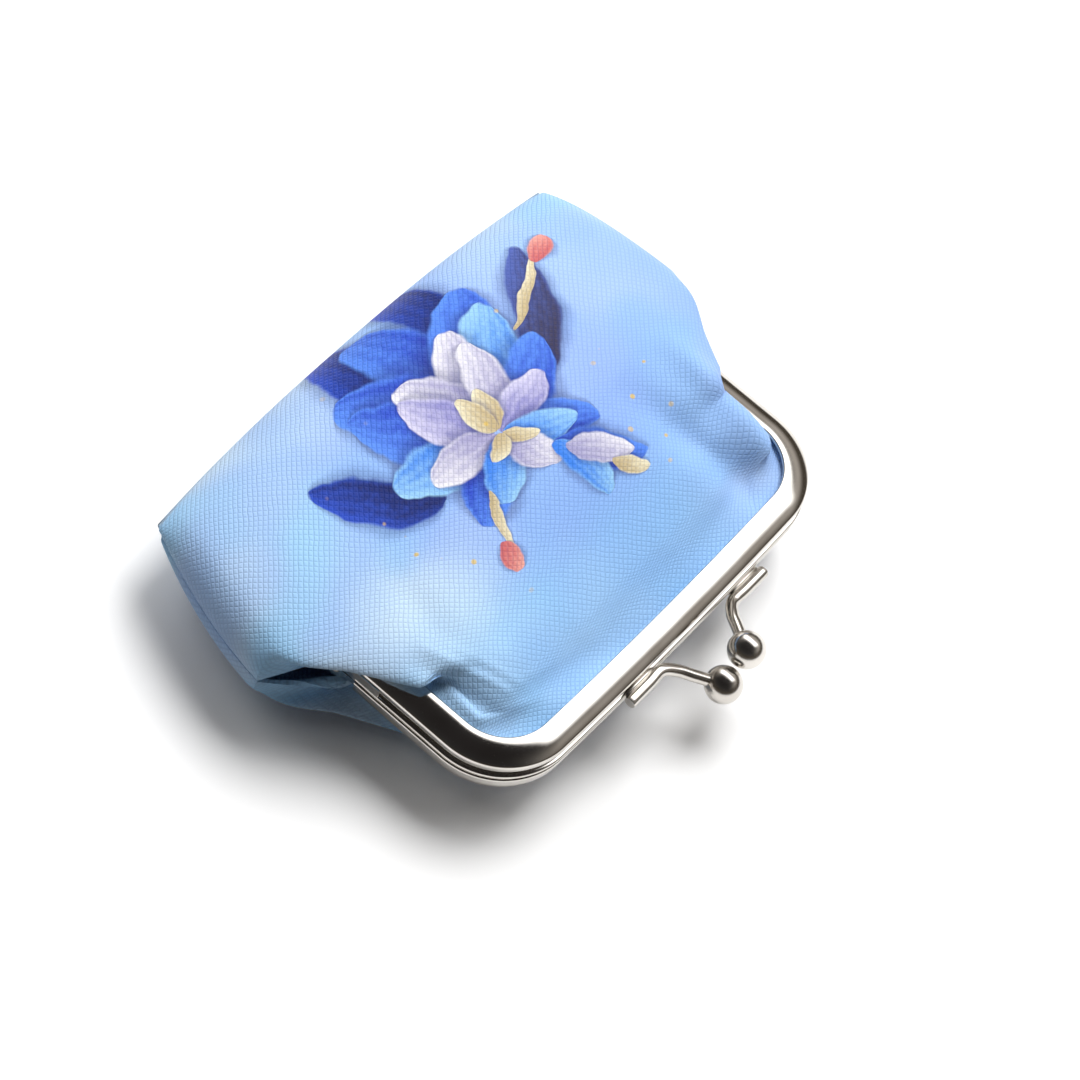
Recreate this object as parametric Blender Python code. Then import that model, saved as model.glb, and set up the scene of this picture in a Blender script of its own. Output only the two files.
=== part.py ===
"""Kiss-lock coin purse, closed and lying on its back panel.

X runs along the frame's top bar, +Y from the hinges to the bottom of the bag, and +Z up. The
origin is on the surface that the purse lies on, under the middle of the hinge axis. The frame's
two halves meet at the parting plane, which is level and as high as the bag's back is deep.
"""
import math

import bpy
import numpy as np

MM = 0.001

# Frame: two U-shaped channels of folded sheet, hinged at the ends of their arms
FRAME_WIDTH = 85.0 * MM
FRAME_REACH = 36.0 * MM  # hinge axis to the outside of the top bar
CORNER_RADIUS = 13.7 * MM
BAR_ARCH = 0.4 * MM
FACE_WIDTH = 4.9 * MM
FLANGE_WIDTH = 4.5 * MM
HALF_THICKNESS = 5.3 * MM
SHEET = 0.7 * MM
PARTING_GAP = 0.4 * MM
LIP_RADIUS = 1.1 * MM
SHOULDER_WIDTH = 3.8 * MM
SHOULDER_START = 2.4 * MM
FACE_FALL = 0.2 * MM  # the face slopes down from its inner edge to the shoulder

# Hinges: an ear on each arm, side by side, with one rivet through both
EAR_RADIUS = 3.0 * MM
EAR_SHEET = 0.65 * MM
EAR_INSET = 0.06 * MM  # outer ear behind the frame's outside
EAR_OVERLAP = 4.5 * MM  # length of an ear inside its channel
CHANNEL_END = 4.6 * MM  # hinge axis to the ends of the channels
LUG_LENGTH = 3.0 * MM
RIVET_RADIUS = 1.0 * MM
RIVET_HEAD_RADIUS = 1.7 * MM
RIVET_HEAD_HEIGHT = 0.7 * MM
CLEARANCE = 0.3 * MM  # between pieces that touch

# Clasp: two balls on bent wires, soldered to the outside of the top bar
WIRE_RADIUS = 0.95 * MM
BALL_RADIUS = 3.15 * MM
CLASP_SHIFT = 3.0 * MM  # the clasp's middle is off the frame's middle
WIRE_END = 18.0 * MM  # along the bar, from the clasp's middle
WIRE_BEND = 9.9 * MM
WIRE_LEVEL = 1.5 * MM  # above or below the parting plane, on the bar
BALL_CROSSING = 2.9 * MM  # height between the crossed balls' middles
BALL_SKEW = 0.8 * MM
BALL_REACH = 9.35 * MM  # bar's outside to the balls' middles

# Bag: outer skins of printed imitation leather, and a thin lining inside them
PANEL_THICKNESS = 0.8 * MM
LINING_THICKNESS = 0.4 * MM
LINING_SPACE = 0.45 * MM  # between panel and lining
LINING_SLACK = 0.6 * MM  # the lining hangs this much further in beside the frame
LINING_HEM = 2.2 * MM  # the lining's seams are this far inside the panels' seams
FABRIC_DEPTH = 3.3 * MM  # frame's outside to the fabric's edge in the channel
FABRIC_LEVEL = 3.8 * MM  # parting plane to the outer skin in the channel
EAR_LIFT = 2.0 * MM  # the fabric's free edges climb this much to pass over the ears
SEAM_GAP = 0.3 * MM  # between the front and the back at their seams
SEAM_TOP = 6.0 * MM  # hinge axis to the top of the side seams
SEAM_TOP_HALF = 52.0 * MM  # half of the bag's width there
BOTTOM_HALF = 46.6 * MM  # half of the bottom seam's length
BAG_BOTTOM = 34.9 * MM  # hinge axis to the bottom corners
BOTTOM_BOW = 2.2 * MM  # the bottom seam bows out in its middle
BOTTOM_SKEW = 0.25 * MM  # one bottom corner lies lower than the other
DRIFT_TOP = -1.1 * MM  # the bag's sideways sag, at the top of the side seams
DRIFT_BOTTOM = 2.5 * MM  # and at the bottom
FRONT_HEIGHT = 13.0 * MM
FRONT_CROWN = 2.0 * MM  # place of the highest line, from the hinge axis
FRONT_SIDE_HEIGHT = 9.0 * MM
BACK_DEPTH = 12.0 * MM  # parting plane to the surface that the purse lies on
BACK_PRESS = 0.85 * MM  # how much the flat rest cuts off the back's curve
BACK_CROWN = 0.0 * MM
BACK_SIDE_HEIGHT = 8.0 * MM
BACK_RISE = 9.15 * MM  # from the mouth to where the back is level
FRONT_SIDE_RISE = 13.0 * MM  # from the mouth to a flank's full height
BACK_SIDE_RISE = 11.0 * MM
FRAME_CREASE = 0.5 * MM  # inner edge of the face to the skin that rises beside it
EASE = 7.0 * MM  # the bulge over an arm starts gently, over this length
SWELL_FULL = 3.0 * MM  # a bulge of this much has its full roundness
OVER_FACE = 1.7 * MM  # the bulge passes this far above the frame's face
TURN_START = -5.0 * MM  # the skin over an arm turns down to the side seam from here
TURN_END = 8.0 * MM
HEM_FALL = -1.7 * MM  # the free edge has passed over the ear and starts to fall
LINING_LATE = 3.0 * MM  # the lining's free edge reaches its seam this much further down
BOW_START = 5.0 * MM  # the bottom's bow and skew grow from here
SQUARE_END = 1.0 * MM  # down to here a sheet's thickness is square to it
SEAM_SHAPED = 9.0 * MM  # and from here its inner skin is a smaller copy of the outer one

# The front is rigid above and below its fold at the hinges
FOLD_TOP = 12.0 * MM  # fold band's upper end, from the hinge axis
FOLD_BOTTOM = 14.0 * MM

# Cord that wedges the fabric in each channel, and sewing thread
CHANNEL_CORD_RADIUS = 0.85 * MM
CHANNEL_CORD_INSET = 2.0 * MM
CHANNEL_CORD_LEVEL = 2.45 * MM
THREAD_RADIUS = 0.25 * MM
THREAD_INSET = 1.6 * MM  # seam to the thread behind it
THREAD_END = 4.0 * MM  # a thread ends this far from the end of its seam

PARTING = BACK_DEPTH
HALF_WIDTH = FRAME_WIDTH / 2
CORNER_X = HALF_WIDTH - CORNER_RADIUS
CORNER_Y = CORNER_RADIUS - FRAME_REACH
BAG_MOUTH = FACE_WIDTH - FRAME_REACH  # where the fabric leaves the top bar

CORNER_STEPS = 7
BAR_STEPS = 6
# Places across half a sheet, closer together where it folds round the frame
PANEL_ACROSS = np.array([0, 0.06, 0.12, 0.18, 0.24, 0.31, 0.39, 0.49, 0.61, 0.74, 0.87, 1])
LINING_ACROSS = np.array([0, 0.08, 0.16, 0.24, 0.33, 0.46, 0.62, 0.8, 1])

METAL = (0.72, 0.69, 0.65, 1)
SKY = (0.44, 0.62, 0.90, 1)
NAVY = (0.03, 0.05, 0.12, 1)
PAPER = (0.75, 0.68, 0.55, 1)
THREAD = (0.62, 0.74, 0.92, 1)


def clear_scene():
    for item in list(bpy.data.objects):
        bpy.data.objects.remove(item, do_unlink=True)


def material(name, colour, roughness, metallic=0.0):
    made = bpy.data.materials.new(name)
    made.use_nodes = True
    shader = made.node_tree.nodes["Principled BSDF"]
    shader.inputs["Base Color"].default_value = colour
    shader.inputs["Roughness"].default_value = roughness
    shader.inputs["Metallic"].default_value = metallic
    return made


def new_object(name, points, faces, surface=None, origin=(0, 0, 0), parent=None):
    """A mesh object of world points, with its own origin, under a parent."""
    points = np.asarray(points, float) - np.asarray(origin, float)
    mesh = bpy.data.meshes.new(name)
    mesh.from_pydata(points.tolist(), [], faces)
    mesh.validate()
    item = bpy.data.objects.new(name, mesh)
    bpy.context.scene.collection.objects.link(item)
    if surface is not None:
        mesh.materials.append(material(name + "_finish", *surface))
        mesh.shade_smooth()
        mesh.set_sharp_from_angle(angle=math.radians(40))
    item.location = origin
    if parent is not None:
        item.parent = parent
        item.matrix_parent_inverse = parent.matrix_world.inverted()
    return item


def pivot(name, place, parent=None):
    """An empty on a joint's axis."""
    item = bpy.data.objects.new(name, None)
    bpy.context.scene.collection.objects.link(item)
    item.location = place
    if parent is not None:
        item.parent = parent
        item.matrix_parent_inverse = parent.matrix_world.inverted()
    bpy.context.view_layer.update()
    return item


def grid_faces(rows, columns, wrap_columns=False):
    """Quads of a grid of points, row after row."""
    faces = []
    for i in range(rows - 1):
        for j in range(columns if wrap_columns else columns - 1):
            k = (j + 1) % columns
            faces.append((i * columns + j, i * columns + k, (i + 1) * columns + k, (i + 1) * columns + j))
    return faces


def sweep(sections):
    """Points and faces of a closed solid from an array of closed sections, stations x points."""
    stations, count, _ = sections.shape
    faces = grid_faces(stations, count, wrap_columns=True)
    faces.append(tuple(reversed(range(count))))
    faces.append(tuple(range((stations - 1) * count, stations * count)))
    return sections.reshape(-1, 3), faces


def tube_sections(path, radius, sides):
    """Rings square to a path, turned as little as possible from one to the next."""
    path = np.asarray(path, float)
    tangents = np.gradient(path, axis=0)
    tangents /= np.linalg.norm(tangents, axis=1, keepdims=True)
    side = np.cross(tangents[0], (0.0, 0.0, 1.0))
    rings = []
    angles = np.linspace(0, 2 * math.pi, sides, endpoint=False)
    for place, tangent in zip(path, tangents):
        side = side - tangent * side.dot(tangent)
        side /= np.linalg.norm(side)
        other = np.cross(tangent, side)
        rings.append(place + radius * (np.outer(np.cos(angles), side) + np.outer(np.sin(angles), other)))
    return np.array(rings)


def revolve_x(stations, centre, sides):
    """Points and faces of a solid turned about a line along X, from (x, radius) stations."""
    angles = np.linspace(0, 2 * math.pi, sides, endpoint=False)
    ring = np.stack([np.zeros(sides), np.cos(angles), np.sin(angles)], axis=1)
    rings = [np.array([x, 0, 0]) + radius * ring for x, radius in stations]
    return sweep(np.array(rings) + np.asarray(centre))


def prism_x(outline, x_from, x_to):
    """Points and faces of an outline in Y and Z, drawn out along X."""
    outline = np.asarray(outline)
    ends = [np.c_[np.full(len(outline), x), outline] for x in (x_from, x_to)]
    return sweep(np.array(ends))


def joined(solids):
    """Several solids' points and faces as one list of each."""
    points, faces = [], []
    for more_points, more_faces in solids:
        faces += [tuple(len(points) + i for i in face) for face in more_faces]
        points += list(more_points)
    return np.array(points), faces


def guide(name, solid):
    """A cutter or a piece to be joined on, kept out of the model."""
    item = new_object(name, *solid)
    face_outwards(item)
    item.hide_render = True
    item.display_type = "WIRE"
    return item


def face_outwards(item):
    """Turn a closed mesh's faces outwards, judged by the sign of its volume."""
    mesh = item.data
    mesh.calc_loop_triangles()
    corners = np.array([[mesh.vertices[i].co for i in t.vertices] for t in mesh.loop_triangles])
    volume = np.einsum("ij,ij->i", corners[:, 0], np.cross(corners[:, 1], corners[:, 2])).sum()
    if volume < 0:
        mesh.flip_normals()


def solid(name, points_and_faces, surface, origin=(0, 0, 0), parent=None):
    item = new_object(name, *points_and_faces, surface, origin, parent)
    face_outwards(item)
    return item


def boolean(item, other, operation):
    cut = item.modifiers.new(other.name, "BOOLEAN")
    cut.operation = operation
    cut.solver = "EXACT"
    cut.object = other


def smooth(t):
    """0 below 0, 1 above 1, with level ends."""
    t = np.clip(t, 0, 1)
    return t * t * (3 - 2 * t)


def bar_arch(x):
    """How far the top bar bows out at x."""
    return BAR_ARCH * (1 - np.minimum(np.abs(x) / CORNER_X, 1) ** 2)


def frame_path(inset=0.0, end=CHANNEL_END):
    """The frame's outline moved inwards: left arm, corner, top bar, corner, right arm."""
    radius = CORNER_RADIUS - inset
    turn = np.linspace(0, math.pi / 2, CORNER_STEPS + 1)
    corner = np.stack([-CORNER_X - radius * np.cos(turn), CORNER_Y - radius * np.sin(turn)], axis=1)
    bar_x = np.linspace(-CORNER_X, CORNER_X, BAR_STEPS + 1)[1:-1]
    bar = np.stack([bar_x, inset - FRAME_REACH - bar_arch(bar_x)], axis=1)
    left = np.array([[inset - HALF_WIDTH, -end]])
    mirror = np.array([-1, 1])
    return np.concatenate([left, corner, bar, corner[::-1] * mirror, left * mirror])


def channel_profile():
    """The folded sheet's section: (inset from the frame's outside, height above the parting plane)."""
    floor = PARTING_GAP / 2
    shoulder_top = HALF_THICKNESS - FACE_FALL
    lip = np.linspace(-math.pi / 2, -math.pi, 5)
    shoulder = np.linspace(math.pi, math.pi / 2, 5)
    inside_lip = np.linspace(-math.pi, -math.pi / 2, 3)
    inside_shoulder = np.linspace(math.pi / 2, math.pi, 3)
    points = [(FLANGE_WIDTH, floor)]
    points += [(LIP_RADIUS * (1 + math.cos(a)), floor + LIP_RADIUS * (1 + math.sin(a))) for a in lip]
    rise = shoulder_top - SHOULDER_START
    points += [(SHOULDER_WIDTH * (1 + math.cos(a)), SHOULDER_START + rise * math.sin(a)) for a in shoulder]
    points += [(FACE_WIDTH, HALF_THICKNESS), (FACE_WIDTH, HALF_THICKNESS - SHEET)]
    width, rise = SHOULDER_WIDTH - SHEET, rise - SHEET
    points += [
        (SHOULDER_WIDTH + width * math.cos(a), SHOULDER_START + rise * math.sin(a)) for a in inside_shoulder
    ]
    inner = LIP_RADIUS - SHEET
    points += [
        (LIP_RADIUS + inner * math.cos(a), floor + LIP_RADIUS + inner * math.sin(a)) for a in inside_lip
    ]
    points += [(FLANGE_WIDTH, floor + SHEET)]
    return points


def channel(up):
    """One half of the frame without its ears; up is 1 for the front and -1 for the back."""
    sections = [
        np.c_[frame_path(inset), np.full(len(frame_path()), PARTING + up * height)]
        for inset, height in channel_profile()
    ]
    return sweep(np.array(sections).transpose(1, 0, 2))


def ear_outline(up):
    """A disc on the hinge axis with a straight neck into its channel, in Y and Z."""
    neck = PARTING_GAP
    start = math.pi - math.asin(neck / EAR_RADIUS)
    angles = np.linspace(start, 2.5 * math.pi, 21)
    disc = [(EAR_RADIUS * math.cos(a), EAR_RADIUS * math.sin(a)) for a in angles]
    end = -CHANNEL_END - EAR_OVERLAP
    points = disc + [(end, EAR_RADIUS), (end, neck)]
    return [(y, PARTING + up * z) for y, z in points]


def ear_place(layer):
    """Outer face of an ear, from the frame's middle: layer 0 is the front's, 1 the back's."""
    return HALF_WIDTH - EAR_INSET - layer * (EAR_SHEET + CLEARANCE)


def ears(up, layer):
    """Both ears of one half of the frame."""
    outer = ear_place(layer)
    inner = outer - EAR_SHEET
    outline = ear_outline(up)
    return joined([prism_x(outline, *sorted((side * inner, side * outer))) for side in (-1, 1)])


def lugs(up):
    """Blocks between the inner ears and the walls of their channels."""
    end = -CHANNEL_END - EAR_OVERLAP
    low, high = (PARTING_GAP + SHEET) / 2, EAR_RADIUS - PARTING_GAP
    outline = [
        (end - PARTING_GAP, PARTING + up * low),
        (end + LUG_LENGTH, PARTING + up * low),
        (end + LUG_LENGTH, PARTING + up * high),
        (end - PARTING_GAP, PARTING + up * high),
    ]
    inner = ear_place(1) - EAR_SHEET / 2
    outer = HALF_WIDTH - SHEET / 2
    return joined([prism_x(outline, *sorted((side * inner, side * outer))) for side in (-1, 1)])


def hinge_holes():
    radius = RIVET_RADIUS + CLEARANCE
    outer = HALF_WIDTH + CLEARANCE
    inner = ear_place(1) - EAR_SHEET - CLEARANCE
    ends = [sorted([(side * inner, radius), (side * outer, radius)]) for side in (-1, 1)]
    return joined([revolve_x(pair, (0, 0, PARTING), 16) for pair in ends])


def rivet(side):
    """A shank with a domed head on each end, along X."""
    outer = ear_place(0) + CLEARANCE
    inner = ear_place(1) - EAR_SHEET - CLEARANCE
    dome = [(1.0, 0.25), (0.8, 0.7), (0.4, 0.93), (0.0, 1.0)]
    stations = [(outer + h * RIVET_HEAD_HEIGHT, r * RIVET_HEAD_RADIUS) for h, r in dome]
    stations += [(outer, RIVET_RADIUS), (inner, RIVET_RADIUS)]
    stations += [(inner - h * RIVET_HEAD_HEIGHT, r * RIVET_HEAD_RADIUS) for h, r in dome[::-1]]
    return revolve_x([(side * x, r) for x, r in stations], (0, 0, PARTING), 16)


def catmull(points, steps):
    """A smooth curve through points, with so many steps between each two."""
    points = np.asarray(points, float)
    ends = np.concatenate([[2 * points[0] - points[1]], points, [2 * points[-1] - points[-2]]])
    curve = []
    for a, b, c, d in zip(ends[:-3], ends[1:-2], ends[2:-1], ends[3:]):
        for t in np.linspace(0, 1, steps, endpoint=False):
            linear = (c - a) * t
            square = (2 * a - 5 * b + 4 * c - d) * t * t
            cube = (3 * b - a - 3 * c + d) * t**3
            curve.append(b + (linear + square + cube) / 2)
    curve.append(points[-1])
    return np.array(curve)


def ball_centre(up):
    """The front's ball (up = 1) hangs below the parting plane and the back's stands above it."""
    apart = 2 * BALL_RADIUS + CLEARANCE
    across = math.sqrt(apart**2 - BALL_CROSSING**2 - BALL_SKEW**2)
    return np.array(
        [
            CLASP_SHIFT - up * across / 2,
            -FRAME_REACH - BALL_REACH - up * BALL_SKEW / 2,
            PARTING - up * BALL_CROSSING / 2,
        ]
    )


def wire_root(up):
    """Where a clasp wire leaves the top bar, and where it flexes."""
    x = CLASP_SHIFT - up * WIRE_BEND
    y = -FRAME_REACH - bar_arch(x) - CLEARANCE - WIRE_RADIUS
    return np.array([x, y, PARTING + up * WIRE_LEVEL])


def clasp_wire(up):
    """A wire along the bar that bends out and across to its ball."""
    root, ball = wire_root(up), ball_centre(up)
    end_x = CLASP_SHIFT - up * WIRE_END
    end_y = -FRAME_REACH - bar_arch(end_x) - CLEARANCE - WIRE_RADIUS
    end = np.array([end_x, min(end_y, root[1]), root[2]])
    # The bend keeps a little outside the straight line to the ball
    bend = root + (ball - root) * 0.25 + np.array([up * 0.6, 0.3, 0]) * WIRE_RADIUS
    reach = ball - bend
    length = np.linalg.norm(reach)
    tip = bend + reach * (length - BALL_RADIUS - CLEARANCE) / length
    middle = (bend + tip) / 2
    straight = end + (root - end) * 0.6
    route = catmull([end, straight, root, bend, middle, tip], 3)
    return sweep(tube_sections(route, WIRE_RADIUS, 10))


def ball(up):
    """A ball turned about a line along X, with a small flat at each pole."""
    pole = 0.15
    turns = np.linspace(pole, math.pi - pole, 9)
    stations = [(-BALL_RADIUS * math.cos(a), BALL_RADIUS * math.sin(a)) for a in turns]
    return revolve_x(stations, ball_centre(up), 14)


def spline_basis(t, count):
    """Clamped cubic B-spline weights: one row for each t in 0..1, one column a control point."""
    knots = np.r_[[0.0] * 3, np.linspace(0, 1, count - 2), [1.0] * 3]
    t = np.clip(t, 0, 1 - 1e-9)
    weights = [(low <= t) & (t < high) for low, high in zip(knots[:-1], knots[1:])]
    weights = [weight.astype(float) for weight in weights]
    for degree in (1, 2, 3):
        level = []
        for i in range(len(weights) - 1):
            rise = knots[i + degree] - knots[i]
            fall = knots[i + degree + 1] - knots[i + 1]
            weight = np.zeros_like(t)
            if rise > 0:
                weight += (t - knots[i]) / rise * weights[i]
            if fall > 0:
                weight += (knots[i + degree + 1] - t) / fall * weights[i + 1]
            level.append(weight)
        weights = level
    return np.stack(weights, axis=1)


def frame_half_width(y, inset):
    """Half the frame's width at row y, measured to its outline moved inwards."""
    radius = CORNER_RADIUS - inset
    rise = np.minimum(y - CORNER_Y, 0)
    return CORNER_X + np.sqrt(np.maximum(radius**2 - rise**2, 0))


def seam_half_width(y, bottom, inset, curve):
    """Half the bag's width at row y, along its side seams."""
    t = np.clip((y - SEAM_TOP) / (bottom - SEAM_TOP), 0, 1)
    return BOTTOM_HALF - inset + (SEAM_TOP_HALF - BOTTOM_HALF) * (1 - t**curve)


# Each side's fabric bulges out over its arm along a straight line down to the seam's top: where it
# starts, how much it gains for its length, and the power that the side seam's curve follows
FRONT_SIDES = {-1: (-22.5 * MM, 0.6, 2.1), 1: (-19.0 * MM, 0.59, 1.15)}
BACK_SIDES = {-1: (-24.0 * MM, 0.5, 2.1), 1: (-20.0 * MM, 0.5, 1.25)}

# Powers of the curves that close the bag at its bottom seam
FRONT_FALL = 4.5
FRONT_SIDE_FALL = 5.0
BACK_FALL = 4.0
SEAM_FALL = 0.7
BOW_FALL = 2.5

# A row's bulge at its side seam is whole where this many times its flank's height is the most
FRONT_FULLNESS = 4.5
BACK_FULLNESS = 3

# A row of the skin is a B-spline. Its control points come after the two in the channel, or start
# at the side seam, and lead in to the bag's middle.
# Beside a corner: distance in from the crease, share of the rise to the flank
CORNER_CONTROLS = ((1.2 * MM, 0.10), (3.2 * MM, 0.35), (6.0 * MM, 0.75), (10.0 * MM, 1.10))
# Over an arm: distance out from the crease, share of the bulge, share of the rise over the face,
# height past that, share of the rise to the flank
ARM_CONTROLS = (
    (-1.6 * MM, 0.0, 0.0, 0.6 * MM, 0.0),
    (-0.8 * MM, 0.2, 1.0, 0.3 * MM, 0.0),
    (0.3 * MM, 1.15, 1.0, -0.3 * MM, 0.0),
    (-1.5 * MM, 0.85, 0.0, 0.0, 1.3),
)
# At a side seam: distance out from the seam, share of the rise to the flank
SEAM_CONTROLS = (
    (0.0, 0.0),
    (0.4 * MM, 0.10),
    (0.5 * MM, 0.28),
    (-0.3 * MM, 0.55),
    (-2.0 * MM, 0.80),
)
# Towards the middle: share of the half width, shares of the flank's and of the middle's height
ARM_MIDDLE = ((0.62, 0.3, 0.72), (0.28, 0.0, 1.0), (0.0, 0.0, 1.0))
SEAM_MIDDLE = ((0.90, 0.3, 0.52), (0.62, 0.1, 0.86), (0.28, 0.0, 1.0), (0.0, 0.0, 1.0))


def row_heights(y, up, inset, bottom):
    """Heights above the parting plane along the bag's middle and its flank, and the flank's most."""
    level = FABRIC_LEVEL - inset
    mouth = BAG_MOUTH + inset
    seam = SEAM_GAP / 2
    if up > 0:
        height, side_height, crown = FRONT_HEIGHT, FRONT_SIDE_HEIGHT, FRONT_CROWN
        rise, side_rise = crown - mouth, FRONT_SIDE_RISE
        power, side_power = FRONT_FALL, FRONT_SIDE_FALL
    else:
        height, side_height, crown = BACK_DEPTH + BACK_PRESS, BACK_SIDE_HEIGHT, BACK_CROWN
        rise, side_rise = BACK_RISE, BACK_SIDE_RISE
        power, side_power = BACK_FALL, BACK_FALL
    fall = np.clip((y - crown) / (bottom - crown), 0, 1)
    ramp = np.sin(math.pi / 2 * np.clip((y - mouth) / rise, 0, 1))
    side_ramp = smooth((y - mouth) / side_rise)
    ending = (1 - fall**power) ** SEAM_FALL
    side_ending = (1 - fall**side_power) ** SEAM_FALL

    def along(most, above, below):
        return np.where(y < crown, level + (most - level) * above, seam + (most - seam) * below)

    middle = along(height - inset, ramp, ending)
    flank = along(side_height - inset, side_ramp, side_ending)
    return middle, flank, side_height - inset


def middle_controls(shares, width, flank, middle):
    return [(across * width, a * flank + b * middle) for across, a, b in shares]


def frame_controls(y, up, side, inset, fullness, heights):
    """Control points beside the frame, which lead out of the channel and up past the face.

    They slope in beside the corners and swell out over the arm, where the bulge grows.
    """
    middle, flank, side_height = heights
    level = FABRIC_LEVEL - inset
    start, slope, _ = (FRONT_SIDES if up > 0 else BACK_SIDES)[side]
    along = np.maximum(y - start, 0)
    bulge = fullness * slope * np.where(along < EASE, along**2 / (2 * EASE), along - EASE / 2)
    swell = smooth(bulge / SWELL_FULL)
    edge = frame_half_width(y, FABRIC_DEPTH) - (1 - fullness) * LINING_SPACE
    crease = frame_half_width(y, FACE_WIDTH + FRAME_CREASE)
    inner = crease - inset - (1 - fullness) * LINING_SLACK
    side_rise = flank - level
    open_ = np.clip(side_rise / (side_height - level), 0, 1)
    over_face = np.minimum(HALF_THICKNESS + OVER_FACE, 0.95 * flank) - level
    climb = EAR_LIFT * smooth((y + CHANNEL_END) / (0.5 * CHANNEL_END))
    controls = [(edge, level + climb), (crease + 0.2 * MM, level + climb)]
    for (inwards, slope_rise), arm in zip(CORNER_CONTROLS, ARM_CONTROLS):
        out, share, over, beyond, rise = arm
        slope_x, slope_z = inner - inwards, level + slope_rise * side_rise
        arm_x = inner + out + share * bulge
        arm_z = level + (over * over_face + beyond) * open_ + rise * side_rise
        controls.append((slope_x + (arm_x - slope_x) * swell, slope_z + (arm_z - slope_z) * swell))
    controls += middle_controls(ARM_MIDDLE, crease, flank, middle)
    # Where the bag has hardly opened, the points are spread evenly from the edge to the middle
    near = smooth(1.5 * open_)
    even = np.linspace(1, 0, len(controls))
    return [(edge * e + (x - edge * e) * near, z) for e, (x, z) in zip(even, controls)]


def seam_controls(y, up, side, bottom, inset, heights):
    """Control points below the hinges, which lead up and in from the side seam."""
    middle, flank, side_height = heights
    seam = SEAM_GAP / 2
    curve = (FRONT_SIDES if up > 0 else BACK_SIDES)[side][2]
    side_x = seam_half_width(y, bottom, inset, curve)
    side_fall = flank - seam
    controls = [(side_x + out, seam + rise * side_fall) for out, rise in SEAM_CONTROLS]
    controls += middle_controls(SEAM_MIDDLE, side_x, flank, middle)
    # Where the bag has nearly closed, they too are spread evenly
    fuller = smooth((FRONT_FULLNESS if up > 0 else BACK_FULLNESS) * side_fall / (side_height - seam))
    even = np.linspace(1, 0, len(controls))
    return [(side_x * e + (x - side_x * e) * fuller, z) for e, (x, z) in zip(even, controls)]


def half_skin(rows, across, up, side, inset, hem, fullness):
    """X and height of one side of the front (up = 1) or the back, for rows of constant y.

    The rows' control points pass from those beside the frame to those at the seam. The free edge
    passes over the ear first, and the body of the skin turns down sooner and more gently.
    """
    y = rows
    bottom = BAG_BOTTOM - inset - hem
    heights = row_heights(y, up, inset, bottom)
    by_frame = frame_controls(y, up, side, inset, fullness, heights)
    at_seam = seam_controls(y, up, side, bottom, inset + hem, heights)
    if fullness > 0:
        hem_out = np.clip((y + CHANNEL_END) / (SEAM_TOP + CHANNEL_END), 0, 1)
        hem_down = np.clip((y - HEM_FALL) / (SEAM_TOP - HEM_FALL), 0, 1)
    else:
        past_ear = EAR_RADIUS + CLEARANCE
        hem_out = np.clip((y - past_ear) / (SEAM_TOP + LINING_LATE - past_ear), 0, 1)
        hem_down = hem_out
    body_turn = smooth((y - TURN_START) / (TURN_END - TURN_START))
    controls_x, controls_z = [], []
    for i, ((frame_x, frame_z), (seam_x, seam_z)) in enumerate(zip(by_frame, at_seam)):
        turn_x, turn_z = (hem_out, hem_down) if i < 3 else (body_turn, body_turn)
        controls_x.append(frame_x * (1 - turn_x) + seam_x * turn_x)
        controls_z.append(frame_z * (1 - turn_z) + seam_z * turn_z)
    basis = spline_basis(across, len(at_seam))
    x = (basis @ np.array(controls_x)).T
    z = (basis @ np.array(controls_z)).T
    if up < 0:
        z = np.minimum(z, BACK_DEPTH - inset)
    return side * x, PARTING + up * z


def skin(rows, across, up, inset, hem=0.0, fullness=1.0):
    """World points of the front's or back's skin, moved inwards, as rows x columns x 3."""
    pulled = rows - (inset + hem) * smooth((rows - FOLD_BOTTOM) / (BAG_BOTTOM - FOLD_BOTTOM))
    left_x, left_z = half_skin(pulled, across, up, -1, inset, hem, fullness)
    right_x, right_z = half_skin(pulled, across, up, 1, inset, hem, fullness)
    x = np.concatenate([left_x, right_x[:, ::-1][:, 1:]], axis=1)
    z = np.concatenate([left_z, right_z[:, ::-1][:, 1:]], axis=1)
    low = smooth((pulled - BOW_START) / (BAG_BOTTOM - BOW_START))[:, None]
    share = np.clip(np.abs(x) / BOTTOM_HALF, 0, 1.2)
    y = pulled[:, None] + low * (BOTTOM_BOW * (1 - share**BOW_FALL) - BOTTOM_SKEW * x / BOTTOM_HALF)
    along = np.clip((pulled - SEAM_TOP) / (BAG_BOTTOM - SEAM_TOP), 0, 1)
    drift = (DRIFT_TOP + (DRIFT_BOTTOM - DRIFT_TOP) * along) * smooth(
        (pulled + CHANNEL_END) / (SEAM_TOP + CHANNEL_END)
    )
    return np.stack([x + drift[:, None], y, z], axis=2)


def skin_normals(rows, across, up, *shape):
    """Unit normals into the bag, from points a little way along and across the skin."""
    step = 0.02 * MM
    down = skin(rows + step, across, up, *shape) - skin(rows - step, across, up, *shape)
    later = skin(rows, np.minimum(across + 0.002, 1), up, *shape)
    earlier = skin(rows, np.maximum(across - 0.002, 0), up, *shape)
    sideways = later - earlier
    half = len(across)
    sideways[:, half:] *= -1
    sideways[:, half - 1] = np.array([1.0, 0.0, 0.0])
    normals = np.cross(down, sideways) * up
    return normals / np.linalg.norm(normals, axis=2, keepdims=True)


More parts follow.
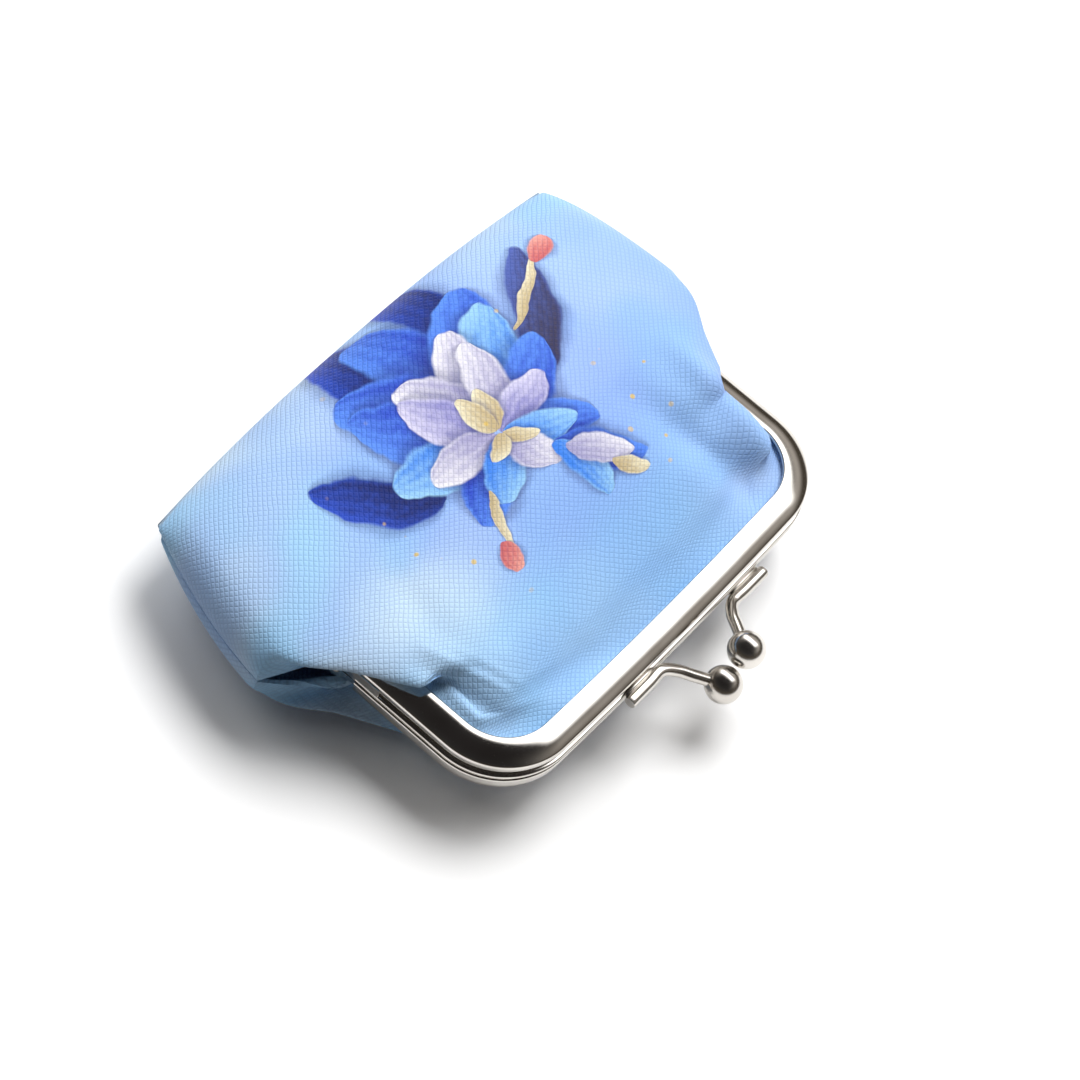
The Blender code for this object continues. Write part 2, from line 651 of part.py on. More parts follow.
def two_skins(rows, across, up, inset, thickness, hem=0.0, fullness=1.0):
    """The outer and inner skins of a sheet.

    Beside the frame the inner skin is set back square to the outer one. Below the hinges it is
    the same shape, smaller all round, so that both close at the seams.
    """
    outside = skin(rows, across, up, inset, hem, fullness)
    normals = skin_normals(rows, across, up, inset, hem, fullness)
    square = outside + thickness * normals
    smaller = skin(rows, across, up, inset + thickness, hem, fullness)
    blend = smooth((rows - SQUARE_END) / (SEAM_SHAPED - SQUARE_END))[:, None, None]
    return outside, square * (1 - blend) + smaller * blend


def shell(rows, across, up, *shape):
    """Points and faces of a closed sheet between two skins."""
    outside, inside = two_skins(rows, across, up, *shape)
    count, columns, _ = outside.shape
    faces = grid_faces(count, columns)
    offset = count * columns
    faces += [tuple(offset + i for i in reversed(face)) for face in grid_faces(count, columns)]
    rim = [i for i in range(columns)]
    rim += [i * columns + columns - 1 for i in range(1, count)]
    rim += [(count - 1) * columns + i for i in range(columns - 2, -1, -1)]
    rim += [i * columns for i in range(count - 2, 0, -1)]
    for a, b in zip(rim, rim[1:] + rim[:1]):
        faces.append((b, a, a + offset, b + offset))
    return np.concatenate([outside.reshape(-1, 3), inside.reshape(-1, 3)]), faces


def seam_path(rows, side, up_inset):
    """A line at the parting plane beside a side seam."""
    front = skin(rows, PANEL_ACROSS, 1, up_inset)
    path = front[:, 0 if side < 0 else -1].copy()
    path[:, 2] = PARTING
    return path


def bottom_path(inset):
    """A line at the parting plane beside the bottom seam."""
    path = skin(np.array([BAG_BOTTOM]), LINING_ACROSS, 1, inset)[0].copy()
    path[:, 2] = PARTING
    return path


def rows_between(start, end, steps):
    return np.linspace(start, end, steps + 1)


def fold_rows():
    """Rows of the fold band, closer together between the channels' ends and the seams' tops."""
    start = rows_between(CLEARANCE / 2 - FOLD_TOP, -CHANNEL_END, 2)
    wing = rows_between(-CHANNEL_END, SEAM_TOP, 5)
    end = rows_between(SEAM_TOP, FOLD_BOTTOM - CLEARANCE / 2, 2)
    return np.concatenate([start, wing[1:], end[1:]])


def upper_rows(steps):
    """Rows from the fabric's edge in the top bar to the fold, closer together near the bar."""
    near = rows_between(FABRIC_DEPTH - FRAME_REACH, BAG_MOUTH + FRAME_CREASE, 2)
    t = np.linspace(0, 1, steps + 1)[1:]
    end = -FOLD_TOP - CLEARANCE / 2
    return np.concatenate([near, near[-1] + (end - near[-1]) * (0.5 * t + 0.5 * t * t)])


def lower_rows(start, steps):
    """Rows from start to the bottom seam, closer together near the seam."""
    t = np.linspace(0, 1, steps + 1)
    return start + (BAG_BOTTOM - start) * (1 - (1 - t) ** 1.7)


def build_frame(hinge):
    holes = guide("hinge_hole_cutter", hinge_holes())
    for name, up, layer, parent in (("back_frame", -1, 1, None), ("front_frame", 1, 0, hinge)):
        origin = (0, 0, PARTING)
        frame = solid(name, channel(up), (METAL, 0.16, 1.0), origin, parent)
        boolean(frame, guide(name + "_ears", ears(up, layer)), "UNION")
        if layer == 1:
            boolean(frame, guide(name + "_lugs", lugs(up)), "UNION")
        boolean(frame, holes, "DIFFERENCE")
    for side, word in ((-1, "left"), (1, "right")):
        origin = (side * HALF_WIDTH, 0, PARTING)
        solid("hinge_rivet_" + word, rivet(side), (METAL, 0.2, 1.0), origin)


def build_clasp(hinge):
    for word, up, parent in (("front", 1, hinge), ("back", -1, None)):
        root = wire_root(up)
        solid(word + "_clasp_arm", clasp_wire(up), (METAL, 0.15, 1.0), root, parent)
        flex = pivot(word + "_clasp_flex_axis", root, parent)
        solid(word + "_clasp_ball", ball(up), (METAL, 0.12, 1.0), root, flex)


def build_bag(hinge):
    top = upper_rows(7)
    fold = fold_rows()
    low = lower_rows(FOLD_BOTTOM + CLEARANCE / 2, 7)
    leather = (SKY, 0.5)
    cloth = (NAVY, 0.85)
    whole = np.concatenate([top[:-1], [-FOLD_TOP], fold[1:-1], [FOLD_BOTTOM], low[1:]])
    panel = (0.0, PANEL_THICKNESS)
    lining = (PANEL_THICKNESS + LINING_SPACE, LINING_THICKNESS, LINING_HEM, 0.0)
    solid("back_panel", shell(whole, PANEL_ACROSS, -1, *panel), leather)
    solid("back_lining", shell(whole, LINING_ACROSS, -1, *lining), cloth)
    for word, rows, parent in (("upper", top, hinge), ("fold", fold, None), ("lower", low, None)):
        origin = (0, 0, PARTING) if parent else (0, 0, 0)
        outer = shell(rows, PANEL_ACROSS, 1, *panel)
        inner = shell(rows, LINING_ACROSS, 1, *lining)
        solid("front_panel_" + word, outer, leather, origin, parent)
        solid("front_lining_" + word, inner, cloth, origin, parent)


def build_cords(hinge):
    end = CHANNEL_END + EAR_OVERLAP + PARTING_GAP + 2 * CLEARANCE
    route = frame_path(CHANNEL_CORD_INSET, end)
    for word, up, parent in (("back", -1, None), ("front", 1, hinge)):
        path = np.c_[route, np.full(len(route), PARTING + up * CHANNEL_CORD_LEVEL)]
        origin = (0, 0, PARTING) if parent else (0, 0, 0)
        tube = sweep(tube_sections(path, CHANNEL_CORD_RADIUS, 6))
        solid(word + "_channel_cord", tube, (PAPER, 0.9), origin, parent)


def build_threads():
    rows = rows_between(SEAM_TOP + THREAD_END, BAG_BOTTOM - THREAD_END, 10)
    for word, side in (("left", -1), ("right", 1)):
        tube = sweep(tube_sections(seam_path(rows, side, THREAD_INSET), THREAD_RADIUS, 6))
        solid(word + "_seam_thread", tube, (THREAD, 0.7))
    path = bottom_path(THREAD_INSET)
    inside = np.abs(path[:, 0]) < BOTTOM_HALF - THREAD_END
    tube = sweep(tube_sections(path[inside], THREAD_RADIUS, 6))
    solid("bottom_seam_thread", tube, (THREAD, 0.7))


def main():
    clear_scene()
    hinge = pivot("frame_open_axis", (0, 0, PARTING))
    build_frame(hinge)
    build_clasp(hinge)
    build_bag(hinge)
    build_cords(hinge)
    build_threads()


main()
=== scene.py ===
"""Kiss-lock coin purse, closed and lying on its back panel: its finished look round the CAD frame.

Lengths are in metres. X runs along the frame's top bar, +Y from the hinges to the bottom of the bag
and +Z up. The two halves of the frame meet at the parting plane.
"""

import math

import bpy
import numpy as np
from mathutils import Matrix, Vector


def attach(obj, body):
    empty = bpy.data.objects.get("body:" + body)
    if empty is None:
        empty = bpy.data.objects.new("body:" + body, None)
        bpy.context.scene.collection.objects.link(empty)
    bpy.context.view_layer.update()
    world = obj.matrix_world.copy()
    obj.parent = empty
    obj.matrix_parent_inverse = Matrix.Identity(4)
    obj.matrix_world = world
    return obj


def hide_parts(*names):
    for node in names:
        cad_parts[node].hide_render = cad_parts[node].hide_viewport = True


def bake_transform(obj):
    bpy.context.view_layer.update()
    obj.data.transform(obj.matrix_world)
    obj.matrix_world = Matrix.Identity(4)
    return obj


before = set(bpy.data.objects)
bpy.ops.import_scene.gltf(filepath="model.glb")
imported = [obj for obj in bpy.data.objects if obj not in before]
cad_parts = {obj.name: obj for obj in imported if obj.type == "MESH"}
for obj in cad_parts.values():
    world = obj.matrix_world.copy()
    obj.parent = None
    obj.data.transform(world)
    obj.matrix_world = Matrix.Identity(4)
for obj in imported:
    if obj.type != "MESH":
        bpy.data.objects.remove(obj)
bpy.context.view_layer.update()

MM = 0.001

# Frame
FRAME_WIDTH = 85.0 * MM
FRAME_REACH = 36.0 * MM
CORNER_RADIUS = 13.7 * MM
BAR_ARCH = 0.4 * MM
FACE_WIDTH = 4.9 * MM
FLANGE_WIDTH = 4.5 * MM
HALF_THICKNESS = 5.3 * MM
SHEET = 0.7 * MM
PARTING_GAP = 0.4 * MM
LIP_RADIUS = 1.1 * MM
BEAD_RADIUS = 0.45 * MM  # the lip's rolled edge stands a little proud of the wall
BEAD_TURN = 1.36 * math.pi  # how far that edge is rolled
WALL_INSET = 0.2 * MM
WALL_LEANS = {1: math.radians(25), -1: math.radians(2)}  # a bulging wall's slope at its foot
INNER_WALL = 1.1 * MM
SHOULDER_START = 2.4 * MM
SHOULDER_WIDTH = 3.8 * MM
TURN_RADII = {1: 0.75 * MM, -1: 2.5 * MM}  # the front's and the back's turn from wall into face
FACE_SLOPE = math.radians(38)  # the face's slope where it leaves that turn
FACE_FALL = 0.2 * MM
FACE_DIP = 0.1 * FACE_FALL  # how far the face's highest line lies below the frame's top
FACE_FLAT = 0.5 * MM  # the face's arc is level this far from its inner edge
EDGE_ROUND = 0.18 * MM  # the sheet's cut edges

# Hinges
EAR_RADIUS = 3.0 * MM
EAR_SHEET = 0.65 * MM
EAR_INSET = 0.06 * MM
EAR_OVERLAP = 4.5 * MM
CHANNEL_END = 4.6 * MM
LUG_LENGTH = 3.0 * MM
RIVET_RADIUS = 1.0 * MM
RIVET_HEAD_RADIUS = 1.7 * MM
RIVET_HEAD_HEIGHT = 0.7 * MM
CLEARANCE = 0.3 * MM
POLE = 0.02  # a turned head or ball ends in a flat of this share of its radius

# Clasp
WIRE_RADIUS = 0.95 * MM
WIRE_PLATING = 1.12  # the finished wire is this much thicker than its clearances allow for
WIRE_CUT = (0.93, 0.99)  # shares of its radius at the wire's rounded end
BALL_RADIUS = 3.15 * MM
CLASP_SHIFT = 3.0 * MM
WIRE_END = 18.0 * MM
WIRE_BEND = 9.9 * MM
WIRE_LEVEL = 1.5 * MM
BEND_SHARE = 0.25  # how far from its root to the ball the wire bends
BEND_OUT = (0.6, 0.3)  # and how far aside, in wire radii
WIRE_IN_BALL = 0.8  # the wire ends this share of the ball's radius from its middle
BALL_CROSSING = 2.9 * MM
BALL_SKEW = 0.8 * MM
BALL_REACH = 9.35 * MM
SOLDER_RADIUS = 0.75 * MM
SOLDER_INSETS = (0.4 * MM, 0.6 * MM)  # from the wire's end and from its root
SOLDER_OVAL = (1.0, 0.75, 1.15)  # its section's stretch along X, Y and Z

# Bag
PANEL_THICKNESS = 0.8 * MM
LINING_THICKNESS = 0.4 * MM
LINING_SPACE = 0.45 * MM
LINING_SLACK = 0.6 * MM
LINING_HEM = 2.2 * MM
FABRIC_DEPTH = 3.3 * MM
FABRIC_LEVEL = 3.8 * MM
EAR_LIFT = 2.0 * MM  # the fabric's climb over the ears, and the length that it takes
EAR_CLIMB = CHANNEL_END / 2
SEAM_GAP = 0.3 * MM
SEAM_TOP = 6.0 * MM
SEAM_TOP_HALF = 52.0 * MM
BOTTOM_HALF = 46.6 * MM
BAG_BOTTOM = 34.9 * MM
BOTTOM_BOW = 2.2 * MM
BOTTOM_SKEW = 0.25 * MM
DRIFT_TOP = -1.1 * MM
DRIFT_BOTTOM = 2.5 * MM
FRONT_HEIGHT = 13.0 * MM
FRONT_CROWN = 2.0 * MM
FRONT_SIDE_HEIGHT = 9.0 * MM
BACK_DEPTH = 12.0 * MM
BACK_PRESS = 0.85 * MM
BACK_CROWN = 0.0 * MM
BACK_SIDE_HEIGHT = 8.0 * MM
BACK_RISE = 9.15 * MM
FRONT_SIDE_RISE = 13.0 * MM
BACK_SIDE_RISE = 11.0 * MM
FRAME_CREASE = 0.2 * MM
EASE = 7.0 * MM
SWELL_FULL = 3.0 * MM
OVER_FACE = 1.7 * MM  # the fabric bulges out over the arms, this far above the face
UNDER_FLANK = 0.95  # or this share of the flank's height, where that is lower
TURN_START = -5.0 * MM
TURN_END = 8.0 * MM
HEM_FALL = -1.7 * MM
LINING_LATE = 3.0 * MM
BOW_START = 5.0 * MM
SQUARE_END = 1.0 * MM
SEAM_SHAPED = 9.0 * MM
FOLD_BOTTOM = 14.0 * MM
FRONT_SIDES = {-1: (-22.5 * MM, 0.6, 2.1), 1: (-19.0 * MM, 0.59, 1.15)}
BACK_SIDES = {-1: (-24.0 * MM, 0.5, 2.1), 1: (-20.0 * MM, 0.5, 1.25)}
FRONT_FALL = 4.5
FRONT_SIDE_FALL = 5.0
BACK_FALL = 4.0
SEAM_FALL = 0.7
ARM_FULLNESS = 1.5  # how soon the bag fills out beside the arms
SEAM_FULLNESS = {1: 4.5, -1: 3.0}  # and the front and the back beside the seam
BOW_FALL = 2.5
CORNER_CONTROLS = ((0.8 * MM, 0.24), (2.6 * MM, 0.44), (5.6 * MM, 0.78), (10.0 * MM, 1.10))
EDGE_LIFTS = (1.5 * MM, 1.4 * MM, 0.9 * MM, 0.4 * MM)  # the leather swells against the face's edge
ARM_CONTROLS = (
    (-1.6 * MM, 0.0, 0.0, 0.6 * MM, 0.0),
    (-0.8 * MM, 0.2, 1.0, 0.3 * MM, 0.0),
    (0.3 * MM, 1.15, 1.0, -0.3 * MM, 0.0),
    (-1.5 * MM, 0.85, 0.0, 0.0, 1.3),
)
SEAM_CONTROLS = (
    (0.0, 0.0),
    (0.4 * MM, 0.10),
    (0.5 * MM, 0.28),
    (-0.3 * MM, 0.55),
    (-2.0 * MM, 0.80),
)
ARM_MIDDLE = ((0.62, 0.3, 0.72), (0.28, 0.0, 1.0), (0.0, 0.0, 1.0))
SEAM_MIDDLE = ((0.90, 0.3, 0.52), (0.62, 0.1, 0.86), (0.28, 0.0, 1.0), (0.0, 0.0, 1.0))

# Cord and thread
CHANNEL_CORD_RADIUS = 0.85 * MM
CHANNEL_CORD_INSET = 2.0 * MM
CHANNEL_CORD_LEVEL = 2.45 * MM
CORD_TWIST = 4.0 * MM  # length of one turn of the twisted paper
THREAD_RADIUS = 0.25 * MM
THREAD_INSET = 1.6 * MM
THREAD_END = 4.0 * MM
THREAD_TWIST = 1.2 * MM
STITCH = 2.6 * MM
PLIES = 3  # of the cord and of the thread

PARTING = BACK_DEPTH
HALF_WIDTH = FRAME_WIDTH / 2
CORNER_X = HALF_WIDTH - CORNER_RADIUS
CORNER_Y = CORNER_RADIUS - FRAME_REACH
BAG_MOUTH = FACE_WIDTH - FRAME_REACH
HALVES = (("front", 1), ("back", -1))  # each half's word, and which way it faces
ORIGIN = (0.0, 0.0, 0.0)

# Finish
SHEET_SPAN = 160.0 * MM  # this much of a sheet is one unit of its UV map
GRAIN_PITCH = 0.82  # millimetres, as every length in the materials
YARN_PITCH = 0.42
GROOVE_PAINTED_SHADE = (60, 84, 150)  # painted shade: the colour that the grain's grooves are darkened towards


# ---- Shapes as functions on a grid


def smooth(t):
    """0 below 0, 1 above 1, with level ends: 3 t squared less 2 t cubed."""
    t = np.clip(t, 0, 1)
    return t * t * (3 - 2 * t)


def part_way(value, start, end):
    """How far a value has come from start to end: 0 before, 1 after."""
    return np.clip((value - start) / (end - start), 0, 1)


def bar_arch(x):
    """The top bar bows out by a parabola over its straight stretch."""
    return BAR_ARCH * (1 - np.minimum(np.abs(x) / CORNER_X, 1) ** 2)


def frame_path(inset, corner_steps, bar_steps, end=CHANNEL_END):
    """The frame's outline moved inwards: an arm, a quarter circle, the bar's parabola, and back."""
    radius = CORNER_RADIUS - inset
    turn = np.linspace(0, math.pi / 2, corner_steps + 1)
    corner = np.c_[-CORNER_X - radius * np.cos(turn), CORNER_Y - radius * np.sin(turn)]
    bar_x = np.linspace(-CORNER_X, CORNER_X, bar_steps + 1)[1:-1]
    bar = np.c_[bar_x, inset - FRAME_REACH - bar_arch(bar_x)]
    arm_y = np.linspace(-end, CORNER_Y, 9)[:-1]
    left = np.c_[np.full(8, inset - HALF_WIDTH), arm_y]
    mirror = np.array([-1, 1])
    return np.concatenate([left, corner, bar, corner[::-1] * mirror, left[::-1] * mirror])


def arc(centre, radii, start, end, steps):
    """Points of an arc of an ellipse."""
    turn = np.linspace(start, end, steps)
    return np.c_[centre[0] + radii[0] * np.cos(turn), centre[1] + radii[1] * np.sin(turn)]


def steps_between(points, axis=0):
    """The distances between neighbours in a row or a grid of points."""
    return np.linalg.norm(np.diff(points, axis=axis), axis=-1)


def travelled(path):
    """The length along a path at each of its points."""
    return np.r_[0, np.cumsum(steps_between(path))]


def at_height(path, z):
    """A flat path's points, all at one height."""
    return np.c_[path, np.full(len(path), z)]


def channel_profile(up):
    """The folded sheet's section, as inset and height: a flange, a rolled lip, a wall, a tight
    turn and a face on a wide arc, with round cut edges, and the same set back inside."""

    def circle(centre, radius, start, end, steps):
        return arc(centre, (radius, radius), start, end, steps)

    half, quarter = math.pi, math.pi / 2
    floor = PARTING_GAP / 2
    edge = SHEET / 2
    level = HALF_THICKNESS - FACE_DIP
    tight, lean, upright = TURN_RADII[up], WALL_LEANS[up], quarter + FACE_SLOPE
    corner_out = tight * (1 - math.sin(FACE_SLOPE))
    wide = (FACE_WIDTH - FACE_FLAT - WALL_INSET - corner_out) / math.sin(FACE_SLOPE)
    turn_top = level - wide * (1 - math.cos(FACE_SLOPE))
    corner = (WALL_INSET + tight, turn_top - tight * math.cos(FACE_SLOPE))
    bulge = (corner[1] - floor - 2 * BEAD_RADIUS) / math.sin(lean)
    inner_shoulder = (SHOULDER_WIDTH - SHEET, HALF_THICKNESS - FACE_FALL - SHOULDER_START - SHEET)
    inner_wall = [
        arc((SHOULDER_WIDTH, SHOULDER_START), inner_shoulder, quarter, half, 8),
        circle((LIP_RADIUS, floor + LIP_RADIUS), LIP_RADIUS - SHEET, -half, -quarter, 6),
    ]
    return np.concatenate(
        [
            circle((BEAD_RADIUS, floor + BEAD_RADIUS), BEAD_RADIUS, -quarter, -BEAD_TURN, 14),
            circle((WALL_INSET + bulge, corner[1]), bulge, half + lean, half, 12)[:-1],
            circle(corner, tight, half, upright, 12),
            circle((FACE_WIDTH - FACE_FLAT, level - wide), wide, upright, quarter, 22)[1:],
            circle((FACE_WIDTH - edge, HALF_THICKNESS - edge), edge, quarter, -quarter, 9),
            np.maximum(np.concatenate(inner_wall), (INNER_WALL, 0)),
            circle((FLANGE_WIDTH - edge, floor + edge), edge, quarter, -quarter, 7),
        ]
    )


def channel_sections(up):
    """The section carried along the frame's outline, moved inwards by each point's inset."""
    sections = [
        at_height(frame_path(inset, 28, 40), PARTING + up * height)
        for inset, height in channel_profile(up)
    ]
    return np.array(sections).transpose(1, 0, 2)


def ear_sections(up, layer, side):
    """A flat plate round the rivet's hole, as rings of points round its thickness.

    Its outline is a disc with a straight neck. Each ring runs from the outline to the hole along
    a ray from the hinge axis, and its corners are rounded off.
    """
    neck = PARTING_GAP
    start = math.pi - math.asin(neck / EAR_RADIUS)
    end = -CHANNEL_END - EAR_OVERLAP
    disc = arc((0, 0), (EAR_RADIUS, EAR_RADIUS), start, 2.5 * math.pi, 60)
    top = np.c_[np.linspace(0, end, 12)[1:], np.full(11, EAR_RADIUS)]
    tip = np.c_[np.full(5, end), np.linspace(EAR_RADIUS, neck, 6)[1:]]
    base = np.c_[np.linspace(end, disc[0, 0], 10)[1:-1], np.full(8, neck)]
    outline = np.concatenate([disc, top, tip, base])
    rays = outline / np.linalg.norm(outline, axis=1, keepdims=True)
    rounded, hole = outline - rays * EDGE_ROUND, rays * (RIVET_RADIUS + CLEARANCE)
    outer = HALF_WIDTH - EAR_INSET - layer * (EAR_SHEET + CLEARANCE)
    inner = outer - EAR_SHEET
    rings = [
        (rounded, outer),
        (outline, outer - EDGE_ROUND),
        (outline, inner + EDGE_ROUND),
        (rounded, inner),
        (hole, inner),
        (hole, outer),
    ]
    points = [np.c_[np.full(len(p), side * x), p[:, 0], PARTING + up * p[:, 1]] for p, x in rings]
    return np.array(points).transpose(1, 0, 2)


def lug_points(up, side):
    """A low block that joins an inner ear to its channel's wall."""
    end = -CHANNEL_END - EAR_OVERLAP
    low, high = (PARTING_GAP + SHEET) / 2, EAR_RADIUS - PARTING_GAP
    inner = HALF_WIDTH - EAR_INSET - 1.5 * EAR_SHEET - CLEARANCE
    outer = HALF_WIDTH - SHEET / 2
    y = (end - PARTING_GAP, end + LUG_LENGTH)
    corners = [(y[0], low), (y[1], low), (y[1], high), (y[0], high)]
    ends = [[(side * x, a, PARTING + up * b) for a, b in corners] for x in (inner, outer)]
    return np.array(ends)


def turned(stations, centre, sides):
    """A line of (x, radius) stations turned about a line along X through a centre."""
    angles = np.linspace(0, 2 * math.pi, sides, endpoint=False)
    stations = np.asarray(stations)
    rings = np.empty((len(stations), sides, 3))
    rings[:, :, 0] = stations[:, :1]
    rings[:, :, 1] = stations[:, 1:] * np.cos(angles)
    rings[:, :, 2] = stations[:, 1:] * np.sin(angles)
    return rings + np.asarray(centre)


def rivet_sections(side):
    """A shank between two domed heads: each head's profile is a quarter of an ellipse."""
    outer = HALF_WIDTH - EAR_INSET + CLEARANCE
    inner = HALF_WIDTH - EAR_INSET - 2 * EAR_SHEET - 2 * CLEARANCE
    turn = np.linspace(0, math.pi / 2, 14)
    rise = RIVET_HEAD_HEIGHT * np.sin(turn)
    radii = RIVET_HEAD_RADIUS * np.maximum(np.cos(turn), POLE)
    head, tail = np.c_[outer + rise, radii][::-1], np.c_[inner - rise, radii]
    shank = [(outer, RIVET_RADIUS), (inner, RIVET_RADIUS)]
    return turned(np.concatenate([head, shank, tail]) * (side, 1), (0, 0, PARTING), 40)


def catmull(points, steps):
    """A smooth curve through points: a Catmull-Rom cubic between each two."""
    points = np.asarray(points, float)
    ends = np.concatenate([[2 * points[0] - points[1]], points, [2 * points[-1] - points[-2]]])
    a, b, c, d = (ends[i : len(ends) - 3 + i][:, None] for i in range(4))
    t = np.linspace(0, 1, steps, endpoint=False)[None, :, None]
    square = 2 * a - 5 * b + 4 * c - d
    cube = 3 * b - a - 3 * c + d
    curve = b + ((c - a) * t + square * t * t + cube * t**3) / 2
    return np.concatenate([curve.reshape(-1, 3), points[-1:]])


def tube_sections(path, radii, sides, twist=0.0, ridges=0, depth=0.0):
    """Rings square to a path, turned as little as possible, with a radius at each station.

    With ridges, the radius rises and falls that many times round the ring, and the ridges wind
    once round the path for each length of twist.
    """
    tangents = np.gradient(path, axis=0)
    tangents /= np.linalg.norm(tangents, axis=1, keepdims=True)
    side = np.cross(tangents[0], (0.0, 0.0, 1.0))
    sides_at = []
    for tangent in tangents:
        side = side - tangent * side.dot(tangent)
        side /= np.linalg.norm(side)
        sides_at.append(side)
    side = np.array(sides_at)[:, None]
    other = np.cross(tangents, side[:, 0])[:, None]
    angles = np.linspace(0, 2 * math.pi, sides, endpoint=False)[None, :, None]
    radius = np.broadcast_to(radii, len(path))[:, None, None]
    if ridges:
        winding = 2 * math.pi * travelled(path)[:, None, None] / twist
        radius = radius * (1 + depth * (np.abs(np.cos((angles * ridges - winding) / 2)) - 0.5))
    return path[:, None] + radius * (np.cos(angles) * side + np.sin(angles) * other)


def ball_centre(up):
    """The balls' middles lie two radii and a gap apart, one above the parting plane, one below."""
    apart = 2 * BALL_RADIUS + CLEARANCE
    across = math.sqrt(apart**2 - BALL_CROSSING**2 - BALL_SKEW**2)
    y = -FRAME_REACH - BALL_REACH - up * BALL_SKEW / 2
    return np.array([CLASP_SHIFT - up * across / 2, y, PARTING - up * BALL_CROSSING / 2])


def beside_bar(x):
    """Y of the middle line of a wire that lies along the bar."""
    return -FRAME_REACH - bar_arch(x) - CLEARANCE - WIRE_RADIUS


def wire_root(up):
    """Where a wire leaves the bar, which is also where it flexes."""
    x = CLASP_SHIFT - up * WIRE_BEND
    return np.array([x, beside_bar(x), PARTING + up * WIRE_LEVEL])


def wire_route(up):
    """The wire's middle line: along the bar, out at the bend, and across to the ball."""
    root, ball = wire_root(up), ball_centre(up)
    end_x = CLASP_SHIFT - up * WIRE_END
    end = np.array([end_x, min(beside_bar(end_x), root[1]), root[2]])
    aside = np.array([up * BEND_OUT[0], BEND_OUT[1], 0]) * WIRE_RADIUS
    bend = root + (ball - root) * BEND_SHARE + aside
    reach = ball - bend
    length = np.linalg.norm(reach)
    tip = bend + reach * (length - WIRE_IN_BALL * BALL_RADIUS) / length
    straight = end + (root - end) * 0.6
    return catmull([end, straight, root, bend, (bend + tip) / 2, tip], 14)


def spline_basis(t, count):
    """Clamped cubic B-spline weights, a row for each t in 0..1, by Cox and de Boor's recursion."""
    knots = np.r_[[0.0] * 3, np.linspace(0, 1, count - 2), [1.0] * 3]
    t = np.clip(t, 0, 1 - 1e-9)
    weights = [((low <= t) & (t < high)).astype(float) for low, high in zip(knots[:-1], knots[1:])]
    for degree in (1, 2, 3):
        level = []
        for i in range(len(weights) - 1):
            rise = knots[i + degree] - knots[i]
            fall = knots[i + degree + 1] - knots[i + 1]
            weight = np.zeros_like(t)
            if rise > 0:
                weight += (t - knots[i]) / rise * weights[i]
            if fall > 0:
                weight += (knots[i + degree + 1] - t) / fall * weights[i + 1]
            level.append(weight)
        weights = level
    return np.stack(weights, axis=1)


def frame_half_width(y, inset):
    """Half the frame's width at row y: straight arms, then a quarter circle."""
    radius = CORNER_RADIUS - inset
    rise = np.minimum(y - CORNER_Y, 0)
    return CORNER_X + np.sqrt(np.maximum(radius**2 - rise**2, 0))


def seam_half_width(y, bottom, inset, curve):
    """Half the bag's width at row y, narrowing to the bottom by a power of the way down."""
    t = part_way(y, SEAM_TOP, bottom)
    return BOTTOM_HALF - inset + (SEAM_TOP_HALF - BOTTOM_HALF) * (1 - t**curve)


def row_heights(y, up, inset, bottom):
    """Heights above the parting plane along the bag's middle and its flank, and the flank's most:
    a sine up to the crown, and a falling power down to the seam."""
    level = FABRIC_LEVEL - inset
    mouth = BAG_MOUTH + inset
    seam = SEAM_GAP / 2
    if up > 0:
        height, side_height, crown = FRONT_HEIGHT, FRONT_SIDE_HEIGHT, FRONT_CROWN
        rise, side_rise = crown - mouth, FRONT_SIDE_RISE
        power, side_power = FRONT_FALL, FRONT_SIDE_FALL
    else:
        height, side_height, crown = BACK_DEPTH + BACK_PRESS, BACK_SIDE_HEIGHT, BACK_CROWN
        rise, side_rise = BACK_RISE, BACK_SIDE_RISE
        power = side_power = BACK_FALL
    fall = part_way(y, crown, bottom)

    def along(most, above, power):
        below = (1 - fall**power) ** SEAM_FALL
        return np.where(y < crown, level + (most - level) * above, seam + (most - seam) * below)

    middle = along(height - inset, np.sin(math.pi / 2 * np.clip((y - mouth) / rise, 0, 1)), power)
    flank = along(side_height - inset, smooth((y - mouth) / side_rise), side_power)
    return middle, flank, side_height - inset


def middle_controls(shares, width, flank, middle):
    """Control points towards the middle, as shares of the width and of the two heights."""
    return [(across * width, a * flank + b * middle) for across, a, b in shares]


def spread(controls, edge, fullness):
    """Control points moved to even steps from the edge to the middle where the bag is flat."""
    even = np.linspace(1, 0, len(controls))
    return [(edge * e + (x - edge * e) * fullness, z) for e, (x, z) in zip(even, controls)]


